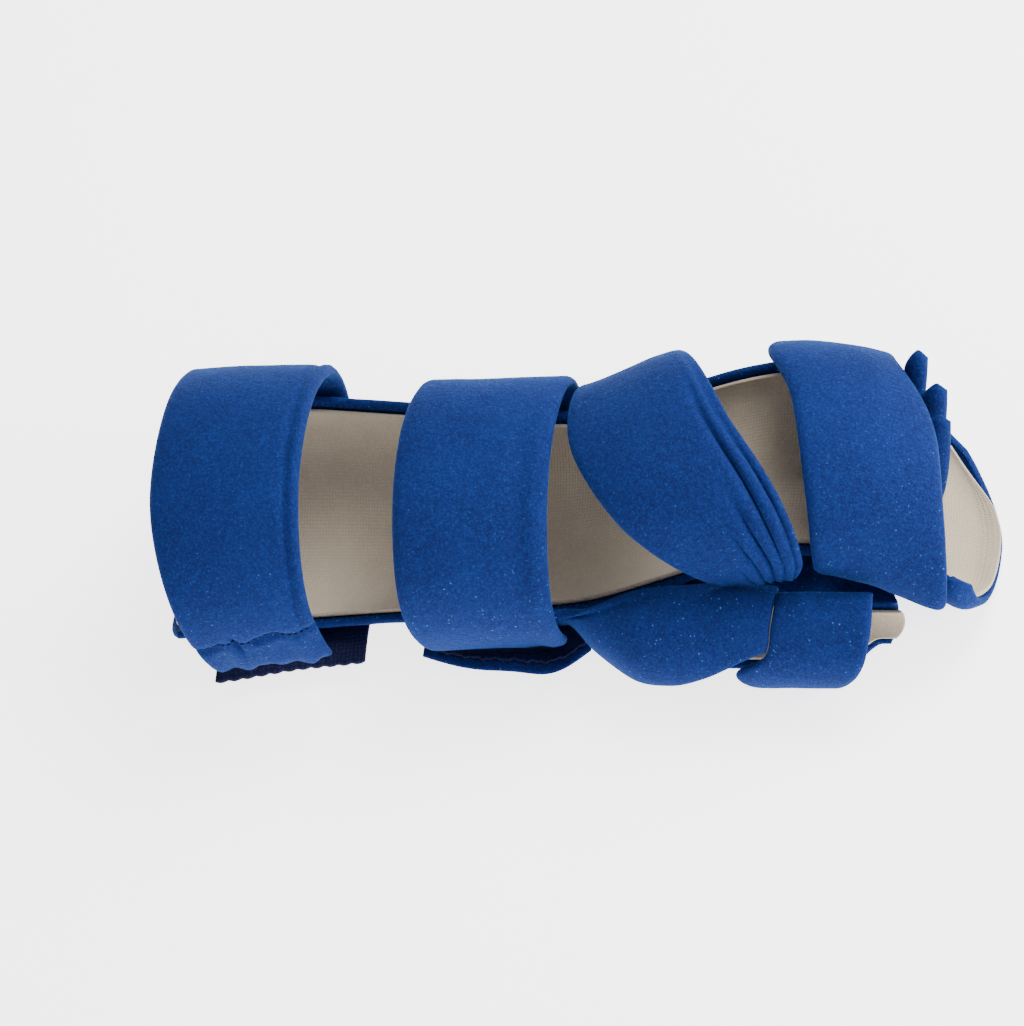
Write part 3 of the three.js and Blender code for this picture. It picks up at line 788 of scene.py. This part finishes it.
def hem_at(v):
    """Where the hem's seam lies along the upper strap, as a share of its length."""
    return HEM - 0.012 * v + 0.004 * np.sin(17 * v)


def hem_puckers(u, v):
    """The upper strap's sewn end: a sunk seam with a nick, and puckers that swell beyond it."""
    line = hem_at(v)
    seam = -2.6 * bell(u, line, 0.0075) * (0.35 + 0.65 * smooth(np.sin(13 * v + 0.2), -0.6, 0.5))
    nick = -2.8 * bell(u, line + 0.006, 0.024) * bell(v, NICK + 0.5 * (u - line), 0.02)
    lumps = 0.9 * smooth(u, line, line + 0.03) * np.sin(24 * v + 0.6) * (0.6 + 0.4 * np.sin(9 * v))
    rim = 0.9 * bell(v, 0.965, 0.03) - 0.8 * bell(v, 0.9, 0.02)
    return seam + nick + lumps + rim * smooth(u, 0.25, 0.4) * (1 - smooth(u, 0.86, 0.92))


class BRACE_OT_forearm_straps(bpy.types.Operator):
    """Build the two straps over the forearm"""

    bl_idname = "brace.forearm_straps"
    bl_label = "Forearm straps"

    def execute(self, context):
        s = sizes()
        length = FOREARM_HALF_WIDTH * math.pi * FOREARM_STRAP_TURN
        thick = s["strap"]

        def ragged(u, v):
            fold = 1.5 * np.sin(9 * v + 0.4) + 1.2 * np.sin(24 * v + 0.6) + 0.4 * np.sin(61 * v)
            return (fold - 3.0 * bell(v, 0.52, 0.04) - 2.0) * smooth(u, HEM, 1.0)

        upper_crown = crown(*UPPER_CROWN)

        def flared(u, v):
            return 2.4 * smooth(u, HEM, 1.0) + upper_crown(u, v)

        upper = padded_sheet(
            "upper_strap", strap_surface(UPPER_ROWS, thick, flared, ragged, UPPER_SLANT), length,
            s["strap_width"], thick, step=1.2, relief=strap_relief(11, hem_puckers), soft=1.4,
        )
        finish_piece(upper, "blue_cloth", ["upper_forearm_strap"])
        surface = strap_surface(LOWER_ROWS, thick, crown(*LOWER_CROWN))

        def rounded(u, v):
            return surface(u - corner_cut(u, v, length, s["strap_width"], STRAP_CORNER), v)

        def fold_line(u, v):
            return (0.5 * bell(v, 0.9, 0.05) - 0.5 * bell(v, 0.8, 0.06)) * smooth(u, 0.4, 0.6)

        lower = padded_sheet(
            "lower_strap", rounded, length, s["strap_width"], thick,
            step=1.4, relief=strap_relief(17, fold_line), soft=1.6,
        )
        finish_piece(lower, "blue_cloth", ["lower_forearm_strap"])
        return {"FINISHED"}


# Grooves of the hand strap: place across it at its end, share of its length where each starts, width, lean.
PLEATS = (
    (0.93, 0.36, 0.02, 0.02),
    (0.83, 0.44, 0.026, 0.05),
    (0.7, 0.74, 0.034, 0.1),
    (0.57, 0.8, 0.034, 0.12),
    (0.44, 0.87, 0.034, 0.12),
)


def folds(u, v):
    """How deep the hand strap's grooves lie, from 0 to 1."""
    depth = 0.0 * v
    for place, start, width, lean in PLEATS:
        depth = depth + bell(v, place + lean * (1 - u), width) * smooth(u, start, start + 0.2)
    return np.minimum(depth, 1)


class BRACE_OT_hand_strap(bpy.types.Operator):
    """Build the strap over the back of the hand, gathered into pleats"""

    bl_idname = "brace.hand_strap"
    bl_label = "Hand strap"

    def execute(self, context):
        s = sizes()
        length = FOREARM_HALF_WIDTH * math.pi * HAND_STRAP_TURN
        width = s["strap_width"] * 0.8

        hand_crown = crown(*HAND_CROWN)

        def gathered(u, v):
            puff = 3.4 * smooth(u, 0.7, 1.0) * smooth(v, 0.15, 0.55)
            return puff - 2.6 * folds(u, v) * smooth(u, 0.5, 0.9) + hand_crown(u, v)

        def scalloped(u, v):
            return (3.0 - 9.0 * folds(u, v) ** 1.5) * smooth(u, 0.88, 1.0) * smooth(v, 0.3, 0.5)

        def grooves(u, v):
            return -1.5 * folds(u, v) + 0.5 * bell(v, 0.88, 0.03) * smooth(u, 0.3, 0.5)

        surface = strap_surface(HAND_ROWS, s["hand_strap"], extra=gathered, edge=scalloped)
        strap = padded_sheet(
            "hand_strap_cloth", surface, length, width, s["hand_strap"],
            step=1.1, relief=strap_relief(23, grooves), soft=1.5,
        )
        finish_piece(strap, "blue_cloth", ["hand_strap"])
        return {"FINISHED"}


class BRACE_OT_finger_strap(bpy.types.Operator):
    """Build the strap over the fingers"""

    bl_idname = "brace.finger_strap"
    bl_label = "Finger strap"

    def execute(self, context):
        s = sizes()
        length = FOREARM_HALF_WIDTH * math.pi * HAND_STRAP_TURN
        width = s["finger_strap_width"]
        surface = strap_surface(FINGER_ROWS, s["strap"], extra=crown(*FINGER_CROWN), slant=FINGER_SLANT)

        def rounded(u, v):
            return surface(u - corner_cut(u, v, length, width, STRAP_CORNER), v)

        strap = padded_sheet(
            "finger_strap_cloth", rounded, length, width, s["strap"],
            step=1.4, relief=strap_relief(31), soft=1.6,
        )
        finish_piece(strap, "blue_cloth", ["finger_strap"])
        return {"FINISHED"}


# Thumb.
THUMB_LENGTH = 92.0
THUMB_SPREAD = 45.0
THUMB_END = 0.9 * SPLINT_LENGTH
THUMB_START = THUMB_END - THUMB_LENGTH
THUMB_LIP = -115
THUMB_FAR_TURN = 25
THUMB_END_TURN = 6
THUMB_TIP_TURN = -68
WEB_TURN = -120
WEB_SHARE = 0.34
THUMB_LINING_THICKNESS = 1.4
# How far the thumb strap starts before the thumb's end, as a share of its width.
THUMB_STRAP_BACK = 1.27
THUMB_STRAP_KEYS = ("at", "turn", "start", "end")
THUMB_STRAP_ROWS = (
    (0.0, 62, 0.0, 1.0),
    (0.2, 110, -0.03, 1.02),
    (0.36, 150, -0.1, 0.96),
    (0.44, 169, -0.37, 0.9),
    (0.5, 182, -0.43, 0.84),
    (0.6, 205, -0.33, 0.71),
    (0.7, 230, -0.16, 0.58),
    (1.0, 318, -0.24, 0.5),
)
WRIST_TOP_TURN = 188
WRIST_LOW_TURN = 214
THENAR_KEYS = ("at", "leave", "top", "low", "out")
THENAR_ROWS = (
    (0.0, 0.0, 92, 206, 1.14),
    (0.07, 0.0, 90, 206, 1.14),
    (0.2, 0.5, 84, 208, 1.16),
    (0.38, 0.9, 62, 207, 1.22),
    (0.53, 1.0, 53, 200, 1.23),
    (0.72, 1.0, 46, 179, 1.25),
    (0.88, 1.0, 44, 156, 1.24),
    (1.0, 1.0, 46, 144, 1.16),
)


def round_thumb(s, x, turn, radius):
    """A place round the thumb's middle line."""
    height = s["thumb_radius"] + PIECE_GAP * 2 + s["thumb_strap"]
    x, turn, radius = np.broadcast_arrays(*(np.asarray(k, dtype=float) for k in (x, turn, radius)))
    c, sn = np.cos(np.radians(turn)), np.sin(np.radians(turn))
    return np.stack([x, -THUMB_SPREAD + radius * c, height + radius * sn], axis=-1)


def thumb_strap_start(s):
    return THUMB_END - s["thumb_strap_width"] * THUMB_STRAP_BACK


def tip_cut(u, v):
    """How far back the rounded corner of the thumb's end lies."""
    return 4.0 * u ** 16 * (1 - v) ** 4


def thumb_lip_at(x, radius):
    """The turn of the cradle's lower lip, which rises past the thumb strap."""
    return lerp(THUMB_LIP, THUMB_TIP_TURN, smooth(x, THUMB_END - radius * 1.6, THUMB_END - radius * 0.6))


def thumb_far_at(x, wall):
    """The turn at which the part circle ends on the palm's side, lower under the finger strap."""
    return lerp(THUMB_FAR_TURN, THUMB_END_TURN, smooth(x - FINGER_START, wall * 8, wall * 13))


class BRACE_OT_thumb(bpy.types.Operator):
    """Build the thumb's cradle, its lining and its two straps"""

    bl_idname = "brace.thumb"
    bl_label = "Thumb"

    def execute(self, context):
        s = sizes()
        radius = s["thumb_radius"]
        wall = s["thumb_wall"]

        def cradle_point(u, v):
            x = lerp(THUMB_START, THUMB_END - wall, u) - tip_cut(u, v)
            web_left = 1 - smooth(x, THUMB_END - radius * 0.55, THUMB_END - radius * 0.25)
            arc_turn = thumb_far_at(x, wall)
            arc_share = 1 - WEB_SHARE
            on_arc = np.minimum(v / arc_share, 1)
            arc = round_thumb(s, x, lerp(thumb_lip_at(x, radius), arc_turn, on_arc), radius - wall / 2)
            t = np.clip((v - arc_share) / WEB_SHARE, 0, 1)[..., None]
            seat = off_oval(x, WEB_TURN, PIECE_GAP * 4 + wall / 2)
            corner = round_thumb(s, x, arc_turn, (radius - wall / 2) * 1.15)
            web = arc * (1 - t) * (1 - t) + corner * 2 * t * (1 - t) + seat * t * t
            lip = round_thumb(s, x, arc_turn + t[..., 0] * 12, radius - wall / 2)
            return np.where(t > 0, lerp(lip, web, web_left[..., None]), arc)

        cradle = padded_sheet(
            "thumb_cradle_cloth", cradle_point, THUMB_LENGTH, radius * math.pi, wall, step=1.4, soft=1.2,
            under=lambda u, v, p: 0.15 * ripple(p, 14, 41),
        )
        finish_piece(cradle, "blue_cloth", ["thumb_cradle"])
        thick = THUMB_LINING_THICKNESS
        inner = radius - wall - PIECE_GAP - s["lining_ease"] - thick / 2
        inset = s["lining_inset"] / 3
        inset_turn = math.degrees(inset / inner)

        def lining_point(u, v):
            x = lerp(THUMB_START + inset, THUMB_END, u)
            turn = lerp(thumb_lip_at(x, radius) + inset_turn, thumb_far_at(x, wall) - inset_turn / 2, v)
            x = x - tip_cut(u, v) - 1.5 * u ** 16 * v ** 6
            return round_thumb(s, x, turn, inner)

        lining = padded_sheet(
            "thumb_lining_cloth", lining_point, THUMB_LENGTH, inner * math.pi * 2 / 3, thick, step=1.4,
        )
        finish_piece(lining, "tan_lining", ["thumb_lining"])

        strap_thick = s["thumb_strap"]
        strap_width = s["thumb_strap_width"]
        start = thumb_strap_start(s)
        table = Rows(THUMB_STRAP_KEYS, THUMB_STRAP_ROWS)

        def strap_point(u, v):
            row = table(u)
            x = start + lerp(row["start"], row["end"], v) * strap_width
            return round_thumb(s, x, row["turn"], radius + PIECE_GAP * 2 + strap_thick / 2)

        strap_length = (radius + strap_thick / 2) * math.pi * 1.4
        strap = padded_sheet(
            "thumb_strap_cloth", strap_point, strap_length, strap_width, strap_thick, step=1.2, floor=0,
            relief=strap_relief(47), soft=1.5,
        )
        finish_piece(strap, "blue_cloth", ["thumb_strap"])

        thenar_thick = s["thenar_strap"]
        thenar_start = LOWER_START + s["strap_width"] - thenar_thick
        thenar_length = start - PIECE_GAP - thenar_start
        rows = Rows(THENAR_KEYS, THENAR_ROWS)
        seam = table(np.linspace(0, 0.5, 60))
        last = rows(1.0)

        def thenar_point(u, v):
            row = rows(u)
            lean = np.interp(lerp(last["top"], last["low"], v), seam["turn"], seam["start"])
            x = thenar_start + u * (thenar_length + strap_width * lean)
            wrist = off_oval(x, lerp(WRIST_TOP_TURN, WRIST_LOW_TURN, v), PIECE_GAP + thenar_thick / 2)
            over = round_thumb(s, x, lerp(row["top"], row["low"], v), row["out"] * radius)
            return lerp(wrist, over, row["leave"][..., None])

        def rim_line(u, v, places):
            line = -1.3 * bell(v, 0.15, 0.03) * smooth(u, 0.02, 0.12) * (1 - smooth(u, 0.45, 0.8))
            return line + 0.3 * ripple(places, 16, 53)

        thenar = padded_sheet(
            "thumb_base_strap", thenar_point, thenar_length, radius * 2.4, thenar_thick,
            step=1.2, under=rim_line, soft=1.4,
        )
        finish_piece(thenar, "blue_cloth", ["thenar_strap"])
        return {"FINISHED"}


# Hook tabs.
TAB_REACH = 25.0
TAB_ROOT = -121
TAB_LEAVE = -131
TAB_HUG = 0.3
# The lower tab's hook face: its thickness, and how far it stops short of the tab's edge.
HOOK_THICKNESS = 1.2
HOOK_INSET = 1.6
LOWER_TAB_WIDER = 1.12


def tab_surface(start, width, off, reach_at, lip_at, inset, edge=None):
    """The middle surface of a tab that hugs the cover at its root and then stands out from it."""

    def point(u, v):
        along = lerp(inset / width, 1 - inset / width, u)
        across = v * (1 - inset / TAB_REACH)
        hug = np.minimum(across / TAB_HUG, 1)
        place = off_oval(start + along * width, lerp(TAB_ROOT, TAB_LEAVE, hug), off)
        out = np.maximum(across - TAB_HUG, 0) / (1 - TAB_HUG)
        reach = reach_at(along)
        if edge is not None:
            reach = reach + edge(along) * out
        place[..., 1] -= out * reach
        place[..., 2] += lip_at(along) * out * out
        return place

    return point


class BRACE_OT_hook_tabs(bpy.types.Operator):
    """Build the hook tabs under the ends of the forearm straps"""

    bl_idname = "brace.hook_tabs"
    bl_label = "Hook tabs"

    def execute(self, context):
        s = sizes()
        thick = s["tab"]
        width = s["strap_width"]
        start = UPPER_START + width * 0.25

        def scallops(along):
            return 0.9 * np.abs(np.sin(math.pi * 11 * along)) + 0.5 * np.sin(7 * along + 1) - 0.4

        upper_surface = tab_surface(
            start, width, PIECE_GAP + thick / 2, lambda a: lerp(TAB_REACH * 0.88, TAB_REACH * 0.66, a),
            lambda a: -thick + 0 * a, 0, scallops,
        )
        upper = padded_sheet("upper_tab", upper_surface, width, TAB_REACH, thick, step=0.9)
        finish_piece(upper, "navy_hook", ["upper_hook_tab"])
        lower_start = LOWER_START + 1.6
        lower_width = width * LOWER_TAB_WIDER

        def reach(a):
            return TAB_REACH * (0.58 + 0.42 * np.sin(math.pi * a) + 0.26 * bell(a, 0.82, 0.2))

        def lip(a):
            return 3.5 * np.sin(math.pi * a)

        def frayed(along):
            return 0.45 * np.sin(52 * along) + 0.35 * np.sin(117 * along + 1.1) - 0.5

        hook = HOOK_THICKNESS
        off = PIECE_GAP * 4 + hook + thick / 2
        backing_surface = tab_surface(lower_start, lower_width, off, reach, lip, 0)
        backing = padded_sheet(
            "lower_tab_cloth", backing_surface, lower_width, TAB_REACH, thick, step=1.0, soft=1.3,
        )
        finish_piece(backing, "blue_cloth", ["lower_tab_backing"])
        off = PIECE_GAP + hook / 2
        hook_surface = tab_surface(lower_start, lower_width, off, reach, lip, HOOK_INSET, frayed)
        face = padded_sheet("lower_tab_hooks", hook_surface, lower_width, TAB_REACH, hook, step=0.8)
        finish_piece(face, "navy_hook", ["lower_hook_tab"])
        for piece, flat in ((upper, width), (backing, lower_width), (face, lower_width)):
            area = sum(p.area for p in piece.data.polygons) / 2
            flat / 1000
            area / (flat / 1000)
        return {"FINISHED"}


# Separators.
SEPARATOR_START = 0.785 * SPLINT_LENGTH
SEPARATOR_LENGTH = 52.0
SEPARATOR_DEPTH = 30.0
SEPARATOR_HEIGHT = 66.0
# A separator leans by this much at its wrist end and at its tip, and swells by no more than this in metres.
SEPARATOR_LEANS = (5.0, 10.0)
SEPARATOR_SWELL = 0.0006
# Name, place across the plan, tip as a share of the length, lift of its foot in gaps, rise of its top.
SEPARATORS = (
    ("1", 47.0, 0.918, 1.7, 1.11),
    ("2", 34.5, 0.943, 2.8, 1.03),
    ("3", 20.5, 0.95, 4.6, 1.0),
)
SEPARATOR_TOPS = Rows(("at", "top"), ((0.0, 0.8), (0.45, 0.88), (0.78, 0.9), (0.93, 1.0), (1.0, 0.93)))


class BRACE_OT_separators(bpy.types.Operator):
    """Build the padded flaps between the fingers"""

    bl_idname = "brace.separators"
    bl_label = "Finger separators"

    def execute(self, context):
        s = sizes()
        thick = s["separator"]
        half = thick / 2
        deep = s["cover"] + PIECE_GAP + s["lining_ease"] + s["lining"]

        def pan_height(x, y):
            o = oval_at(x)
            across = (y - o["side"]) / (np.where(y > o["side"], o["far"], o["near"]) - deep)
            return o["height"] - (o["below"] - deep) * np.sqrt(np.maximum(1 - across * across, 0))

        def strap_underside(x, y):
            o = oval_at(x)
            across = (y - o["side"]) / (o["far"] + PIECE_GAP)
            height = o["height"] + o["above"] * np.sqrt(np.maximum(1 - across * across, 0))
            past = np.maximum(x - FINGER_START - s["finger_strap_width"] * 1.07, 0)
            return height - PIECE_GAP * 8 + past * past * 2

        for name, side, end, lift, rise in SEPARATORS:

            def point(u, v, side=side, end=end, lift=lift, rise=rise):
                tip = end * SPLINT_LENGTH - 8.0 * (1 - v) ** 2 + 1.5 * v * v
                x = lerp(SEPARATOR_START, tip, u)
                reach = half + PIECE_GAP * 3
                foot = np.maximum(pan_height(x, side - reach), pan_height(x, side + reach)) + PIECE_GAP * lift
                lean = lerp(*SEPARATOR_LEANS, u)
                free_top = SEPARATOR_TOPS(u)["top"] * SEPARATOR_HEIGHT * rise
                top = np.minimum(free_top, strap_underside(x, side + lean + half))
                return np.stack([x, side + lean * v * v, lerp(foot, top, v)], axis=-1)

            pad = padded_sheet(
                "separator_" + name, point, SEPARATOR_LENGTH, SEPARATOR_DEPTH, thick, step=1.6, soft=1.25,
            )
            plump(pad, SEPARATOR_SWELL)
            finish_piece(pad, "blue_cloth", ["finger_separator_" + name])
        return {"FINISHED"}


def plump(piece, most):
    """Let a pad swell under a little pressure, as its filling does, by no more than a distance in metres."""
    before = np.array([v.co[:] for v in piece.data.vertices])
    cloth = piece.modifiers.new("filling", "CLOTH")
    cloth.settings.quality = 6
    cloth.settings.use_pressure = True
    cloth.settings.uniform_pressure_force = 3.0
    cloth.settings.effector_weights.gravity = 0
    cloth.settings.tension_stiffness = 20
    cloth.settings.bending_stiffness = 1.0
    scene = bpy.context.scene
    for step in range(1, 13):
        scene.frame_set(step)
    evaluated = piece.evaluated_get(bpy.context.evaluated_depsgraph_get())
    after = np.array([v.co[:] for v in evaluated.data.vertices])
    piece.modifiers.remove(cloth)
    scene.frame_set(1)
    move = after - before
    move -= move.mean(axis=0)
    size = np.linalg.norm(move, axis=1, keepdims=True)
    move *= np.minimum(1, most / np.maximum(size, 1e-9))
    for vertex, place in zip(piece.data.vertices, before + move):
        vertex.co = place


# Seams.
# How far the rims' stitches sink into the cover and the hem's stand on the strap, in millimetres.
RIM_STITCH_SINK = 0.12
HEM_STITCH_LIFT = 0.5


class BRACE_OT_seams(bpy.types.Operator):
    """Sew the stitches along the cover's rims and across the upper strap's hem"""

    bl_idname = "brace.seams"
    bl_label = "Seams"

    def execute(self, context):
        s = sizes()
        inset = math.degrees((s["lining_inset"] * 0.5) / FOREARM_HALF_WIDTH)
        xs = np.linspace(6, SPLINT_LENGTH - 12, 160)
        o = oval_at(xs)
        rims = [
            off_oval(xs, o["near_turn"] + inset * NEAR_INSET_SHARE, -s["cover"] - RIM_STITCH_SINK),
            off_oval(xs, o["far_turn"] - inset, -s["cover"] - RIM_STITCH_SINK),
        ]
        sew("rim_stitches", rims, thread(), s["stitch"])
        table = Rows(STRAP_KEYS, UPPER_ROWS)
        v = np.linspace(0.05, 0.93, 90)
        hem = hem_at(v)
        row = table(hem)
        off = PIECE_GAP + s["strap"] + row["off"] * STRAP_SLACK + hem_puckers(hem, v) + HEM_STITCH_LIFT
        turn = row["turn"] - UPPER_SLANT * v * hem ** 4
        hem_line = off_oval(lerp(row["start"], row["end"], v), turn, off)
        sew("hem_stitches", [hem_line], thread(), s["stitch"], HEM_THREAD_RADIUS)
        return {"FINISHED"}


# Stage.
ELEVATION = math.radians(55)
LEAN = math.radians(12)
PIXEL = 0.40
# The picture's middle and the place of the plan's origin in it, in pixels, and its height.
MIDDLE_ACROSS = 512
MIDDLE_DOWN = 513
ORIGIN_ACROSS = 188
ORIGIN_DOWN = 572.3
PICTURE_HEIGHT = 1026
PART_DEPTH = 69
CAMERA_DISTANCE = 2.4
SENSOR = 36
# Lights: name, direction from the brace, distance and size in metres, power in watts.
LIGHTS = (
    ("key", (0.45, 0.75, 1.0), 1.1, 0.7, 18.0),
    ("front", (-0.2, -1.0, 0.45), 1.2, 0.8, 2.0),
    ("side", (1.0, -0.1, 0.5), 1.2, 0.6, 13.0),
)


class BRACE_OT_stage(bpy.types.Operator):
    """Build the camera, the lights and the floor"""

    bl_idname = "brace.stage"
    bl_label = "Stage"

    def execute(self, context):
        e, a = ELEVATION, LEAN
        right = Vector((math.cos(a), math.sin(a) * math.cos(e), -math.sin(a) * math.sin(e)))
        up = Vector((0, math.sin(e), math.cos(e)))
        toward = Vector((math.sin(a), -math.cos(a) * math.cos(e), math.cos(a) * math.sin(e)))
        across = (MIDDLE_ACROSS - ORIGIN_ACROSS) * PIXEL
        aim = right * across + up * ((ORIGIN_DOWN - MIDDLE_DOWN) * PIXEL) + toward * PART_DEPTH
        aim = (aim + Vector(PLAN_SHIFT)) / 1000
        data = bpy.data.cameras.new("camera")
        data.lens = SENSOR * CAMERA_DISTANCE / (PICTURE_HEIGHT * PIXEL / 1000)
        data.clip_end = 20
        camera = bpy.data.objects.new("camera", data)
        place = aim + toward * CAMERA_DISTANCE
        camera.matrix_world = Matrix((
            (right.x, up.x, toward.x, place.x),
            (right.y, up.y, toward.y, place.y),
            (right.z, up.z, toward.z, place.z),
            (0, 0, 0, 1),
        ))
        scene = context.scene
        scene.collection.objects.link(camera)
        scene.camera = camera
        self.floor()
        self.lights(aim)
        return {"FINISHED"}

    def floor(self):
        mesh = bmesh.new()
        bmesh.ops.create_grid(mesh, x_segments=8, y_segments=8, size=3.0)
        data = bpy.data.meshes.new("floor")
        mesh.to_mesh(data)
        mesh.free()
        floor = bpy.data.objects.new("floor", data)
        data.materials.append(studio_floor("studio_floor", tuple(colours().floor)))
        bpy.context.scene.collection.objects.link(floor)

    def lights(self, aim):
        for name, direction, distance, size, power in LIGHTS:
            data = bpy.data.lights.new(name, "AREA")
            data.size = size
            data.energy = power
            lamp = bpy.data.objects.new(name, data)
            way = Vector(direction).normalized()
            turned = way.to_track_quat("Z", "Y").to_matrix().to_4x4()
            lamp.matrix_world = Matrix.Translation(aim + way * distance) @ turned
            bpy.context.scene.collection.objects.link(lamp)
        world = bpy.data.worlds.new("studio")
        world.use_nodes = True
        world.node_tree.nodes["Background"].inputs["Color"].default_value = (1.0, 1.0, 1.0, 1)
        world.node_tree.nodes["Background"].inputs["Strength"].default_value = 0.6
        bpy.context.scene.world = world


class BRACE_PT_panel(bpy.types.Panel):
    """The steps that build the brace"""

    bl_label = "Hand brace"
    bl_idname = "BRACE_PT_panel"
    bl_space_type = "VIEW_3D"
    bl_region_type = "UI"
    bl_category = "Hand brace"

    def draw(self, context):
        for operator in OPERATORS:
            self.layout.operator(operator.bl_idname)
        for group in (context.scene.brace_sizes, context.scene.brace_colours):
            box = self.layout.box()
            for key in type(group).__annotations__:
                box.prop(group, key)


OPERATORS = (
    BRACE_OT_stage,
    BRACE_OT_trough,
    BRACE_OT_forearm_straps,
    BRACE_OT_hand_strap,
    BRACE_OT_finger_strap,
    BRACE_OT_thumb,
    BRACE_OT_hook_tabs,
    BRACE_OT_separators,
    BRACE_OT_seams,
)
CLASSES = (BraceColours, BraceSizes, *OPERATORS, BRACE_PT_panel)


def register():
    for cls in CLASSES:
        bpy.utils.register_class(cls)
    bpy.types.Scene.brace_colours = bpy.props.PointerProperty(type=BraceColours)
    bpy.types.Scene.brace_sizes = bpy.props.PointerProperty(type=BraceSizes)


def unregister():
    del bpy.types.Scene.brace_sizes
    del bpy.types.Scene.brace_colours
    for cls in reversed(CLASSES):
        bpy.utils.unregister_class(cls)


def main():
    register()
    for operator in OPERATORS:
        group, name = operator.bl_idname.split(".")
        getattr(getattr(bpy.ops, group), name)()


if __name__ == "__main__":
    main()
